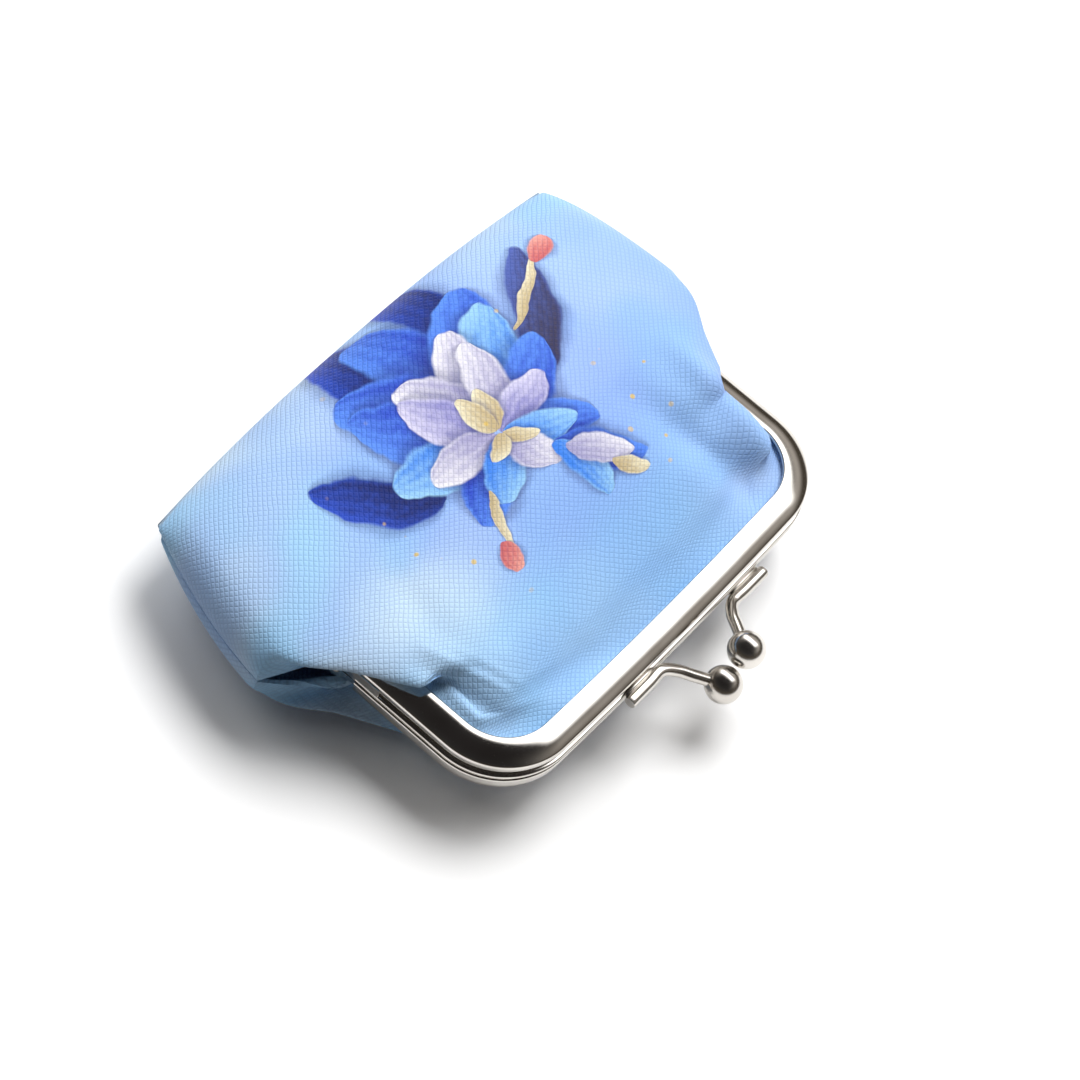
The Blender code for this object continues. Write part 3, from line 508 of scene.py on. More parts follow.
def frame_controls(y, up, side, inset, fullness, heights):
    """Control points beside the frame, which lead out of the channel and up past the face."""
    middle, flank, side_height = heights
    level = FABRIC_LEVEL - inset
    start, slope, _ = (FRONT_SIDES if up > 0 else BACK_SIDES)[side]
    along = np.maximum(y - start, 0)
    bulge = fullness * slope * np.where(along < EASE, along**2 / (2 * EASE), along - EASE / 2)
    swell = smooth(bulge / SWELL_FULL)
    edge = frame_half_width(y, FABRIC_DEPTH) - (1 - fullness) * LINING_SPACE
    crease = frame_half_width(y, FACE_WIDTH + FRAME_CREASE)
    inner = crease - inset - (1 - fullness) * LINING_SLACK
    side_rise = flank - level
    open_ = part_way(flank, level, side_height)
    over_face = np.minimum(HALF_THICKNESS + OVER_FACE, UNDER_FLANK * flank) - level
    climb = EAR_LIFT * smooth((y + CHANNEL_END) / EAR_CLIMB)
    controls = [(edge, level + climb), (crease + FRAME_CREASE, level + climb)]
    for (inwards, slope_rise), arm, lift in zip(CORNER_CONTROLS, ARM_CONTROLS, EDGE_LIFTS):
        out, share, over, beyond, rise = arm
        slope_x, slope_z = inner - inwards, level + slope_rise * side_rise + fullness * lift
        arm_x = inner + out + share * bulge
        arm_z = level + (over * over_face + beyond) * open_ + rise * side_rise
        controls.append((slope_x + (arm_x - slope_x) * swell, slope_z + (arm_z - slope_z) * swell))
    controls += middle_controls(ARM_MIDDLE, crease, flank, middle)
    return spread(controls, edge, smooth(ARM_FULLNESS * open_))


def seam_controls(y, up, side, bottom, inset, heights):
    """Control points below the hinges, which lead up and in from the side seam."""
    middle, flank, side_height = heights
    seam = SEAM_GAP / 2
    curve = (FRONT_SIDES if up > 0 else BACK_SIDES)[side][2]
    side_x = seam_half_width(y, bottom, inset, curve)
    side_fall = flank - seam
    controls = [(side_x + out, seam + rise * side_fall) for out, rise in SEAM_CONTROLS]
    controls += middle_controls(SEAM_MIDDLE, side_x, flank, middle)
    return spread(controls, side_x, smooth(SEAM_FULLNESS[up] * side_fall / (side_height - seam)))


def half_skin(y, across, up, side, inset, hem, fullness):
    """X and height of one side of the front or the back: in each row, a B-spline whose control
    points pass from those beside the frame to those at the side seam."""
    bottom = BAG_BOTTOM - inset - hem
    heights = row_heights(y, up, inset, bottom)
    by_frame = frame_controls(y, up, side, inset, fullness, heights)
    at_seam = seam_controls(y, up, side, bottom, inset + hem, heights)
    if fullness > 0:
        hem_out = part_way(y, -CHANNEL_END, SEAM_TOP)
        hem_down = part_way(y, HEM_FALL, SEAM_TOP)
    else:
        hem_out = hem_down = part_way(y, EAR_RADIUS + CLEARANCE, SEAM_TOP + LINING_LATE)
    body_turn = smooth(part_way(y, TURN_START, TURN_END))
    controls_x, controls_z = [], []
    for i, ((frame_x, frame_z), (seam_x, seam_z)) in enumerate(zip(by_frame, at_seam)):
        turn_x, turn_z = (hem_out, hem_down) if i < 3 else (body_turn, body_turn)
        controls_x.append(frame_x * (1 - turn_x) + seam_x * turn_x)
        controls_z.append(frame_z * (1 - turn_z) + seam_z * turn_z)
    basis = spline_basis(across, len(at_seam))
    x = (basis @ np.array(controls_x)).T
    z = (basis @ np.array(controls_z)).T
    if up < 0:
        z = np.minimum(z, BACK_DEPTH - inset)
    return side * x, PARTING + up * z


def skin(rows, across, up, inset, hem=0.0, fullness=1.0):
    """Points of the front's or back's skin: its two sides joined, then sagged a little sideways
    and bowed at the bottom seam."""
    pulled = rows - (inset + hem) * smooth(part_way(rows, FOLD_BOTTOM, BAG_BOTTOM))
    left_x, left_z = half_skin(pulled, across, up, -1, inset, hem, fullness)
    right_x, right_z = half_skin(pulled, across, up, 1, inset, hem, fullness)
    x = np.concatenate([left_x, right_x[:, ::-1][:, 1:]], axis=1)
    z = np.concatenate([left_z, right_z[:, ::-1][:, 1:]], axis=1)
    low = smooth(part_way(pulled, BOW_START, BAG_BOTTOM))[:, None]
    share = np.clip(np.abs(x) / BOTTOM_HALF, 0, 1.2)
    y = pulled[:, None] + low * (BOTTOM_BOW * (1 - share**BOW_FALL) - BOTTOM_SKEW * x / BOTTOM_HALF)
    along = part_way(pulled, SEAM_TOP, BAG_BOTTOM)
    drift = DRIFT_TOP + (DRIFT_BOTTOM - DRIFT_TOP) * along
    drift = drift * smooth(part_way(pulled, -CHANNEL_END, SEAM_TOP))
    return np.stack([x + drift[:, None], y, z], axis=2)


def skin_normals(rows, across, up, *shape):
    """Unit normals into the bag: the cross product of short steps along and across the skin."""
    step, side_step = 0.02 * MM, 0.002
    down = skin(rows + step, across, up, *shape) - skin(rows - step, across, up, *shape)
    later = skin(rows, np.minimum(across + side_step, 1), up, *shape)
    sideways = later - skin(rows, np.maximum(across - side_step, 0), up, *shape)
    half = len(across)
    sideways[:, half:] *= -1
    sideways[:, half - 1] = np.array([1.0, 0.0, 0.0])
    normals = np.cross(down, sideways) * up
    return normals / np.linalg.norm(normals, axis=2, keepdims=True)


def two_skins(rows, across, up, inset, thickness, hem=0.0, fullness=1.0):
    """The outer and inner skins of a sheet and the normals into the bag. The inner skin is set
    back square to the outer one beside the frame, and is a smaller copy of it below the hinges."""
    shape = (inset, hem, fullness)
    outside = skin(rows, across, up, *shape)
    normals = skin_normals(rows, across, up, *shape)
    square = outside + thickness * normals
    smaller = skin(rows, across, up, inset + thickness, hem, fullness)
    blend = smooth(part_way(rows, SQUARE_END, SEAM_SHAPED))[:, None, None]
    return outside, square * (1 - blend) + smaller * blend, normals


def sheet_rows(steps):
    """Rows from the fabric's edge in the bar to the bottom seam, closer together at both ends."""
    t = np.linspace(0, 1, steps + 1)
    ends = (1 - np.cos(math.pi * t)) / 2
    start, bunched = FABRIC_DEPTH - FRAME_REACH, 0.45
    return start + (BAG_BOTTOM - start) * (bunched * ends + (1 - bunched) * t)


def sheet_columns(steps):
    """Places across half a sheet, halfway between even steps of the spline and of its length."""
    fine = np.linspace(0, 1, 801)
    lengths = travelled(skin(np.array([0.0]), fine, 1, 0.0)[0][: len(fine)])
    even = np.interp(np.linspace(0, lengths[-1], steps + 1), lengths, fine)
    return (even + np.linspace(0, 1, steps + 1)) / 2


def crease(x, y, start, end, width, height):
    """A rounded ridge, or valley where height is negative, along a line: a bell across the line
    times a sine's arch along it."""
    start, end = np.array(start) * MM, np.array(end) * MM
    reach = end - start
    length = np.linalg.norm(reach)
    reach /= length
    along = ((x - start[0]) * reach[0] + (y - start[1]) * reach[1]) / length
    off = ((x - start[0]) * reach[1] - (y - start[1]) * reach[0]) / (width * MM)
    arch = np.sin(math.pi * np.clip(along, 0, 1))
    return height * MM * np.exp(-(off**2)) * arch


RELIEF_FADES = (0.08, 0.12, 0.05)  # shares of the sheet at its top, its bottom and each side
# Soft creases of the front panel: from, to, half width and height, in millimetres
FRONT_CREASES = (
    ((-38.6, -9), (-32.8, -31), 2.1, -1.3),
    ((-36.0, -9), (-28.8, -27.5), 0.8, 0.26),
    ((-33.6, -10), (-26.3, -28.5), 0.9, 0.18),
    ((22, -1), (29.5, -36), 3.8, -2.2),
    ((36, 1), (32.2, -38), 2.8, 2.2),
    ((-30, 4), (-33, -22), 3.0, -0.4),
    ((-12, -31), (-14, -18), 2.2, 0.08),
    ((8, -31), (9, -16), 2.4, 0.08),
)


def relief(points, up):
    """How far the panel's surface stands proud of its plain form: its creases and a slow waviness
    made of a few sines, which fade out at the frame and at the seams."""
    x, y = points[:, :, 0], points[:, :, 1]
    waves = 0.10 * np.sin(x / (7.0 * MM) + 1.3 * np.sin(y / (11.0 * MM)))
    waves += 0.08 * np.sin(y / (6.0 * MM) + 1.1 * np.sin(x / (9.0 * MM) + 0.7))
    raised = waves * MM
    if up > 0:
        for start, end, width, height in FRONT_CREASES:
            raised = raised + crease(x, y, start, end, width, height)
    rows, columns = x.shape
    down = np.linspace(0, 1, rows)[:, None]
    across = np.linspace(0, 1, columns)[None, :]
    top, bottom, side = RELIEF_FADES
    fade = smooth(down / top) * smooth((1 - down) / bottom)
    fade = fade * smooth(across / side) * smooth((1 - across) / side)
    return raised * fade


# ---- Meshes


def quads(index, wrap_rows=False, wrap_columns=False):
    """Quads of a grid of point numbers."""
    if wrap_rows:
        index = np.concatenate([index, index[:1]])
    if wrap_columns:
        index = np.concatenate([index, index[:, :1]], axis=1)
    corners = [index[:-1, :-1], index[:-1, 1:], index[1:, 1:], index[1:, :-1]]
    return np.stack(corners, axis=2).reshape(-1, 4)


def tube_solid(sections, ring=False):
    """Points and faces of a closed solid from stations of closed sections: a ring that closes on
    itself, or a tube with flat ends."""
    stations, count = sections.shape[:2]
    index = np.arange(stations * count).reshape(stations, count)
    ends = [] if ring else [index[0, ::-1].tolist(), index[-1].tolist()]
    return sections.reshape(-1, 3), quads(index, ring, True).tolist() + ends


def sheet_solid(outside, inside):
    """Points and faces of a closed sheet between two grids."""
    rows, columns = outside.shape[:2]
    size = rows * columns
    index = np.arange(size).reshape(rows, columns)
    rim = np.concatenate([index[0], index[1:, -1], index[-1, -2::-1], index[-2:0:-1, 0]])
    later = np.roll(rim, -1)
    wall = np.stack([later, rim, rim + size, later + size], axis=1)
    faces = np.concatenate([quads(index), quads(index)[:, ::-1] + size, wall])
    points = np.concatenate([outside.reshape(-1, 3), inside.reshape(-1, 3)])
    return points, faces.tolist()


def outward(points, faces):
    """The faces, all turned round if they enclose a negative volume."""
    triangles = np.array([(f[0], f[i], f[i + 1]) for f in faces for i in range(1, len(f) - 1)])
    a, b, c = (points[triangles[:, i]] for i in range(3))
    volume = np.einsum("ij,ij->i", a, np.cross(b, c)).sum()
    return faces if volume > 0 else [face[::-1] for face in faces]


def placed(name, data):
    """A new object in the scene."""
    item = bpy.data.objects.new(name, data)
    bpy.context.scene.collection.objects.link(item)
    return item


def piece(name, solids, finish, sharp=40):
    """One object of several solids, shaded smooth but for edges sharper than an angle."""
    points, faces = [], []
    offset = 0
    for part_points, part_faces in solids:
        turned_faces = outward(part_points, part_faces)
        faces += [[offset + i for i in face] for face in turned_faces]
        points.append(part_points)
        offset += len(part_points)
    mesh = bpy.data.meshes.new(name)
    mesh.from_pydata(np.concatenate(points), [], faces)
    mesh.update()
    mesh.shade_smooth()
    mesh.set_sharp_from_angle(angle=math.radians(sharp))
    mesh.materials.append(finish)
    item = placed(name, mesh)
    return item


def give_sheet_map(item, outside):
    """A UV map that is the sheet laid flat: lengths across from its middle, and down from the
    hinge axis, both measured along the surface."""
    across = np.cumsum(steps_between(outside, axis=1), axis=1)
    u = np.concatenate([np.zeros((len(outside), 1)), across], axis=1)
    middle = outside.shape[1] // 2
    u -= u[:, middle : middle + 1]
    v = np.r_[0, np.cumsum(steps_between(outside).mean(axis=1))]
    v -= np.interp(0.0, outside[:, middle, 1], v)
    grid = np.stack([u, np.broadcast_to(v[:, None], u.shape)], axis=2) / SHEET_SPAN + 0.5
    grid = np.concatenate([grid.reshape(-1, 2)] * 2)
    mesh = item.data
    layer = mesh.uv_layers.new(name="Sheet")
    corner = np.zeros(len(mesh.loops), np.int32)
    mesh.loops.foreach_get("vertex_index", corner)
    layer.data.foreach_set("uv", grid[corner].astype(np.float32).ravel())


def flat_size(outside):
    """A sheet's cut size, measured along its surface: greatest width, length down the middle, and
    area."""
    width = steps_between(outside, axis=1).sum(axis=1).max()
    length = steps_between(outside[:, outside.shape[1] // 2]).sum()
    a = outside[1:, 1:] - outside[:-1, :-1]
    b = outside[1:, :-1] - outside[:-1, 1:]
    area = np.linalg.norm(np.cross(a, b), axis=2).sum() / 2
    return width, length, area


# ---- Materials


class Signal:
    """What a shader node puts out, for use in sums. Each operation on it adds one Math node."""

    def __init__(self, socket):
        self.socket, self.tree = socket, socket.id_data

    def __add__(self, other):
        return maths("ADD", self, other)

    def __sub__(self, other):
        return maths("SUBTRACT", self, other)

    def __rsub__(self, other):
        return maths("SUBTRACT", other, self)

    def __mul__(self, other):
        return maths("MULTIPLY", self, other)

    def __truediv__(self, other):
        return maths("DIVIDE", self, other)

    def __pow__(self, other):
        return maths("POWER", self, other)

    def __abs__(self):
        return maths("ABSOLUTE", self)

    def clamped(self):
        """The same, with what the last operation gives held within 0 and 1."""
        self.socket.node.use_clamp = True
        return self


def feed(made, inputs):
    """Gives a node its inputs, each a value or a signal."""
    for key, value in inputs.items():
        if isinstance(value, Signal):
            value.tree.links.new(value.socket, made.inputs[key])
        else:
            made.inputs[key].default_value = value


def node(tree, kind, inputs=None, output=0, **settings):
    """What a new shader node puts out."""
    made = tree.nodes.new("ShaderNode" + kind)
    for key, value in settings.items():
        setattr(made, key, value)
    feed(made, inputs or {})
    return Signal(made.outputs[output])


def maths(operation, *values):
    """A Math node's result."""
    tree = next(value.tree for value in values if isinstance(value, Signal))
    return node(tree, "Math", dict(enumerate(values)), operation=operation)


def vector_maths(operation, first, second, output="Vector"):
    """A Vector Math node's result for two places."""
    inputs = {0: first, 1: second}
    return node(first.tree, "VectorMath", inputs, output, operation=operation)


def scaled(place, factor):
    """A place's coordinates times a factor."""
    return node(place.tree, "VectorMath", {0: place, "Scale": factor}, operation="SCALE")


def distance(place, centre=ORIGIN):
    """How far a place is from a centre."""
    return vector_maths("DISTANCE", place, centre, "Value")


def axes(place):
    """A place's X, Y and Z."""
    split = node(place.tree, "SeparateXYZ", {"Vector": place}).socket.node
    return [Signal(socket) for socket in split.outputs]


def mixed(share, first, second):
    """A mix of two colours."""
    return node(share.tree, "Mix", {0: share, 6: first, 7: second}, 2, data_type="RGBA")


def ramp(value, low, high):
    """0 at low and 1 at high, with level ends."""
    inputs = {"Value": value, "From Min": low, "From Max": high}
    return node(value.tree, "MapRange", inputs, interpolation_type="SMOOTHSTEP")


def noise(place, scale, detail=2.0, roughness=0.5):
    """Noise of about 0 to 1, with so many waves a millimetre."""
    inputs = {"Vector": place, "Scale": scale, "Detail": detail, "Roughness": roughness}
    return node(place.tree, "TexNoise", inputs, "Fac")


def swayed(place, scale, detail, reach):
    """A place moved about by slow noise."""
    inputs = {"Vector": place, "Scale": scale, "Detail": detail}
    sway = node(place.tree, "TexNoise", inputs, "Color")
    centred = vector_maths("SUBTRACT", sway, (0.5, 0.5, 0.5))
    return vector_maths("ADD", place, scaled(centred, reach))


def rotated(place, angle):
    """A place turned about Z by an angle in radians."""
    inputs = {"Vector": place, "Angle": angle}
    return node(place.tree, "VectorRotate", inputs, rotation_type="Z_AXIS")


def linear(red, green, blue):
    """A colour given as screen values of 0 to 255, for a shader."""
    share = np.array([red, green, blue]) / 255
    curve = np.where(share <= 0.04045, share / 12.92, ((share + 0.055) / 1.055) ** 2.4)
    return (*[float(c) for c in curve], 1.0)


def group(name, inputs, build):
    """A node group: its named inputs with what they are by default, and the outputs that a
    function makes of them."""
    tree = bpy.data.node_groups.new(name, "ShaderNodeTree")
    for label, value in inputs.items():
        kind = "NodeSocketVector" if isinstance(value, tuple) else "NodeSocketFloat"
        socket = tree.interface.new_socket(label, in_out="INPUT", socket_type=kind)
        socket.default_value = value
    given = tree.nodes.new("NodeGroupInput").outputs
    outputs = build(*(Signal(given[label]) for label in inputs))
    for label in outputs:
        kind = "NodeSocketColor" if label == "Color" else "NodeSocketFloat"
        tree.interface.new_socket(label, in_out="OUTPUT", socket_type=kind)
    feed(tree.nodes.new("NodeGroupOutput"), outputs)
    return tree


def use_group(tree, shared, inputs):
    """The outputs of a node group placed in a tree with its own inputs."""
    made = tree.nodes.new("ShaderNodeGroup")
    made.node_tree = shared
    feed(made, inputs)
    return {socket.name: Signal(socket) for socket in made.outputs}


def cross_grain(place, pitch):
    """Embossed leather grain: two sets of thin wavy grooves at right angles, slanted to the sheet,
    one deeper than the other. Height is 1 between the grooves and 0 in the deeper ones."""
    sharpness, shallow = 1.7, 0.75
    slanted = rotated(swayed(place, 0.35, 1.0, 0.5), math.radians(45))
    grooves = []
    for along in axes(slanted)[:2]:
        wave = abs(maths("SINE", along / pitch * math.pi))
        grooves.append((1.0 - wave).clamped() ** sharpness)
    groove = maths("MAXIMUM", grooves[0], grooves[1] * shallow)
    return {"Height": 1.0 - groove, "Groove": groove}


def petal(place, root, angle, length, width, bend, brush):
    """One brushed petal: a long leaf shape that bends aside, with a soft edge. Light grows from its
    root to its tip and from one side to the other, with veins, and Shadow is a haze round it."""
    x, y, _ = axes(rotated(vector_maths("SUBTRACT", place, root), angle * -1.0))
    along = x / length
    inside = along * (1.0 - along)
    swell = (inside * 4.0).clamped() ** 0.6
    across = (y - along * along * bend) / ((swell + 0.001) * width)
    edge = 1.0 - abs(across)
    ends = ramp(inside, 0.0, 0.03)
    veins = maths("SINE", across * 13.0)
    light = along * 0.75 + across * 0.28 + veins * 0.07 + brush + ramp(edge, 0.35, 0.05) * 0.3
    return {
        "Mask": ramp(edge, 0.0, 0.2) * ends,
        "Light": ramp(light, -0.05, 1.15),
        "Shadow": ramp(edge, -0.55, 0.15) * ends * 0.45,
    }


# The printed spray, painted in this order: each petal's root, direction, length, half width and
# sideways bend in millimetres and degrees on the flat sheet, and its paint
PETALS = (
    ((8, 16), 78, 30, 5.5, 7, "navy"),
    ((-6, 16), 108, 28, 6.0, -8, "navy"),
    ((14, 8), 40, 26, 4.5, 6, "shade"),
    ((-13, 5), 152, 22, 4.6, -6, "navy"),
    ((2, 10), 92, 27, 7.5, 5, "royal"),
    ((2, 9), 66, 25, 7.0, -5, "royal"),
    ((1, 9), 122, 25, 7.0, 5, "royal"),
    ((2, 8), 38, 22, 6.2, 4, "sky"),
    ((1, 8), 148, 23, 6.4, -4, "royal"),
    ((2, 7), 8, 19, 5.6, 4, "royal"),
    ((1, 7), 176, 20, 5.4, -3, "sky"),
    ((2, 6), -24, 17, 5.0, -4, "royal"),
    ((1, 6), 206, 18, 5.2, 4, "royal"),
    ((2, 8), 80, 18, 5.0, -3, "white"),
    ((2, 8), 106, 17, 4.8, 4, "white"),
    ((2, 7), 52, 16, 4.4, 3, "white"),
    ((1, 7), 134, 16, 4.4, -3, "lilac"),
    ((2, 6), 22, 14, 3.8, -2, "lilac"),
    ((1, 6), 164, 14, 3.8, 2, "white"),
    ((2, 6), -50, 13, 4.2, 3, "sky"),
    ((1, 6), 240, 14, 4.2, -3, "sky"),
    ((2, 6), 270, 12, 3.8, 2, "white"),
    ((2, 7), 70, 8, 2.2, 1, "cream"),
    ((2, 7), 112, 8, 2.2, -1, "cream"),
    ((2, 6), 300, 6, 1.8, 1, "cream"),
    ((2, 6), 220, 6, 1.8, -1, "cream"),
    ((17, 17), 24, 17, 1.0, 2, "cream"),
    ((-8, 0), 238, 12, 0.9, 2, "cream"),
    ((30, 24), 20, 7, 2.3, 1, "coral"),
    ((-13, -9), 246, 6, 2.0, 1, "coral"),
    ((6, -2), 300, 17, 4.0, 3, "royal"),
    ((6, -2), 284, 14, 3.2, -2, "sky"),
    ((7, -4), 306, 12, 2.8, 2, "white"),
    ((11, -11), 298, 8, 1.9, 1, "cream"),
)
# Each paint at a petal's root and at its tip
PAINTS = {
    "royal": ((30, 58, 190), (96, 150, 250)),
    "navy": ((20, 30, 92), (48, 84, 206)),
    "shade": ((58, 54, 82), (84, 104, 184)),
    "sky": ((60, 132, 236), (160, 212, 252)),
    "white": ((168, 164, 204), (246, 244, 250)),
    "lilac": ((140, 138, 200), (226, 222, 246)),
    "cream": ((198, 178, 134), (246, 238, 206)),
    "coral": ((206, 104, 104), (246, 176, 160)),
}
PETAL_SHADOW = (34, 44, 110)
GOLD = (232, 198, 92)
SKY = {
    "pale": (206, 232, 255),
    "clear": (172, 206, 252),
    "cool": (168, 216, 255),
    "painted_shade_blue": (142, 178, 240),
    "bright": (140, 204, 255),
    "violet": (138, 172, 248),
}
SPRAY_MIDDLE = (2.0, 10.0, 0.0)
SPRAY_HEART = (2.0, 6.0, 0.0)


def sky_ground(place):
    """Drifting blues, with painted shade that darkens them towards +X and the frame's bar;
    brighter beside the bar and more violet round the spray."""
    sky = {word: linear(*colour) for word, colour in SKY.items()}
    x, y, _ = axes(place)
    colour = mixed(ramp(noise(place, 0.028, 2.0), 0.38, 0.62), sky["pale"], sky["clear"])
    colour = mixed(ramp(noise(place, 0.045, 1.0), 0.46, 0.68), colour, sky["cool"])
    # Painted shade: the ground darkens towards +X and the frame's bar.
    colour = mixed(ramp(x - y, -15.0, 35.0) * 0.62, colour, sky["painted_shade_blue"])
    by_bar = ramp(y, -4.0, -22.0) * (ramp(x, 30.0, 14.0) * 0.42)
    colour = mixed(by_bar, colour, sky["bright"])
    round_spray = ramp(distance(place, SPRAY_MIDDLE), 38.0, 20.0) * 0.6
    return mixed(round_spray, colour, sky["violet"])


def gold_dots(place):
    """Where small dots show: cells of a loose grid, in a ring's two sides and at the heart."""
    cells = {"Vector": place, "Scale": 0.24, "Randomness": 0.7}
    dot = ramp(node(place.tree, "TexVoronoi", cells, "Distance"), 0.15, 0.09)
    heart = distance(place, SPRAY_HEART)
    ring = ramp(heart, 19.0, 23.0) * ramp(heart, 33.0, 29.0)
    beside = ramp(abs(axes(place)[0]), 12.0, 20.0)
    return dot * maths("MAXIMUM", ring * beside, ramp(heart, 4.5, 3.5)) * 0.85


def printed_spray(shared_petal):
    """The printed colour of the leather: a sky ground, a spray of petals with brush streaks and a
    soft shadow under each, and a scatter of small gold dots beside it."""

    def build(place):
        colour = sky_ground(place)
        brush = (noise(place, 0.9, 4.0, 0.65) - 0.5) * 0.7
        drawn = swayed(place, 0.16, 2.0, 3.0)
        for root, angle, length, width, bend, paint in PETALS:
            inputs = {
                "Place": drawn,
                "Root": (*map(float, root), 0.0),
                "Angle": math.radians(angle),
                "Length": float(length),
                "Width": float(width),
                "Bend": float(bend),
                "Brush": brush,
            }
            one = use_group(place.tree, shared_petal, inputs)
            deep, light = (linear(*c) for c in PAINTS[paint])
            colour = mixed(one["Shadow"], colour, linear(*PETAL_SHADOW))
            colour = mixed(one["Mask"], colour, mixed(one["Light"], deep, light))
        return {"Color": mixed(gold_dots(place), colour, linear(*GOLD))}

    return group("printed_spray", {"Place": ORIGIN}, build)


def rub_marks(place):
    """Fine handling marks on plating: stretched noise for the marks, and a slow unevenness of the
    pressed sheet for the height."""
    stretched = node(place.tree, "Mapping", {"Vector": place, "Scale": (0.25, 3.0, 3.0)})
    marks = ramp(noise(stretched, 1.3, 4.0, 0.6), 0.52, 0.8)
    return {"Marks": marks, "Height": noise(place, 0.15, 0.0)}


def finish(name, settings):
    """A material, its Principled shader with its settings, and its node tree."""
    made = bpy.data.materials.new(name)
    made.use_nodes = True
    shader = made.node_tree.nodes["Principled BSDF"]
    feed(shader, settings)
    return made, shader, made.node_tree


def sheet_place(tree):
    """Millimetres on a sheet laid flat, from its UV map."""
    span = SHEET_SPAN / MM
    flat = node(tree, "UVMap", uv_map="Sheet")
    inputs = {"Vector": flat, "Location": (-0.5 * span, -0.5 * span, 0.0), "Scale": (span,) * 3}
    return node(tree, "Mapping", inputs, vector_type="POINT")


def object_place(tree):
    """Millimetres in the object's own coordinates."""
    return scaled(node(tree, "TexCoord", output="Object"), 1 / MM)


def bump(shader, height, depth):
    """Feeds a height, as a share of a depth in millimetres, to the shader's normal."""
    inputs = {"Height": height, "Distance": depth * MM, "Strength": 1.0}
    feed(shader, {"Normal": node(height.tree, "Bump", inputs)})


def printed_leather():
    """Imitation leather: its print, its embossed grain with painted shade in its grooves, and a
    fine roughness over both.
    """
    settings = {"Roughness": 0.48, "Specular IOR Level": 0.25}
    made, shader, tree = finish("printed_leather", settings)
    start = {"Place": ORIGIN, "Root": ORIGIN, "Angle": 0.0}
    shape = {"Length": 20.0, "Width": 5.0, "Bend": 0.0, "Brush": 0.0}
    shared_petal = group("petal", {**start, **shape}, petal)
    grain = group("cross_grain", {"Place": ORIGIN, "Pitch": GRAIN_PITCH}, cross_grain)
    place = sheet_place(tree)
    emboss = use_group(tree, grain, {"Place": place, "Pitch": GRAIN_PITCH})
    colour = use_group(tree, printed_spray(shared_petal), {"Place": place})["Color"]
    fine = noise(place, 2.2, 3.0)
    # Painted shade: the print is darkened in the grain's grooves.
    feed(shader, {"Base Color": mixed(emboss["Groove"] * 0.18, colour, linear(*GROOVE_PAINTED_SHADE))})
    worn = {"Value": emboss["Groove"] + fine * 0.4, "To Min": 0.40, "To Max": 0.62}
    feed(shader, {"Roughness": node(tree, "MapRange", worn)})
    bump(shader, emboss["Height"] + fine * 0.15, depth=0.075)
    return made


def woven_lining():
    """Plain weave: two sets of rounded yarns that pass over each other in turn, with painted shade
    in its low places.
    """
    made, shader, tree = finish("woven_lining", {"Roughness": 0.85, "Sheen Weight": 0.25})
    place = sheet_place(tree)
    across, down = (maths("SINE", along * (math.pi / YARN_PITCH)) for along in axes(place)[:2])
    weave = across * down * 0.5 + 0.5
    # Painted shade: darker where the weave is low, mixed with a random tone from noise.
    share = weave * 0.6 + noise(place, 0.4, 2.0) * 0.4
    feed(shader, {"Base Color": mixed(share, linear(56, 76, 118), linear(100, 124, 168))})
    bump(shader, weave, depth=0.06)
    return made


def nickel(name, wear, roughness):
    """Bright nickel plating, with a faint cloudiness and fine rub marks."""
    made, shader, tree = finish(name, {"Roughness": roughness, "Metallic": 1.0})
    place = object_place(tree)
    cloud = ramp(noise(place, 0.12, 3.0), 0.3, 0.7)
    feed(shader, {"Base Color": mixed(cloud, linear(208, 203, 196), linear(226, 222, 216))})
    marks = use_group(tree, wear, {"Place": place})
    rubbed = {"Value": marks["Marks"], "To Min": roughness, "To Max": roughness + 0.08}
    feed(shader, {"Roughness": node(tree, "MapRange", rubbed)})
    bump(shader, marks["Height"], depth=0.004)
    return made


def fibrous(name, settings, texture, colours, depth):
    """Paper or thread, with colour and height from noise of a scale, detail and roughness."""
    made, shader, tree = finish(name, settings)
    fibre = noise(object_place(tree), *texture)
    feed(shader, {"Base Color": mixed(fibre, *(linear(*colour) for colour in colours))})
    bump(shader, fibre, depth)
    return made


# ---- The purse


def make_bag(leather, lining):
    """Two leather panels and two linings, the back ones fixed to the back half."""
    rows, columns = sheet_rows(224), sheet_columns(110)
    inner = PANEL_THICKNESS + LINING_SPACE
    for word, up in HALVES:
        outside, inside, normals = two_skins(rows, columns, up, 0.0, PANEL_THICKNESS)
        raised = -relief(outside, up)[:, :, None] * normals
        if up < 0:
            raised[:, :, 2] = np.maximum(raised[:, :, 2], 0)
        solid = sheet_solid(outside + raised, inside + raised)
        panel = piece(word + "_leather_panel", [solid], leather)
        give_sheet_map(panel, outside)
        shape = (inner, LINING_THICKNESS, LINING_HEM, 0.0)
        cloth_out, cloth_in, normals = two_skins(rows[::2], columns[::2], up, *shape)
        raised = -relief(cloth_out, up)[:, :, None] * normals
        cloth_out, cloth_in = cloth_out + raised, cloth_in + raised
        solid = sheet_solid(cloth_out, cloth_in)
        cloth = piece(word + "_cloth_lining", [solid], lining)
        give_sheet_map(cloth, cloth_out)
        for item, grid, old in ((panel, outside, "_panel"), (cloth, cloth_out, "_lining")):
            if up > 0:
                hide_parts(*("front" + old + part for part in ("_upper", "_fold", "_lower")))
                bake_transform(item)
            else:
                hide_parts("back" + old)
                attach(item, "back_half")
            width, length, area = flat_size(grid)


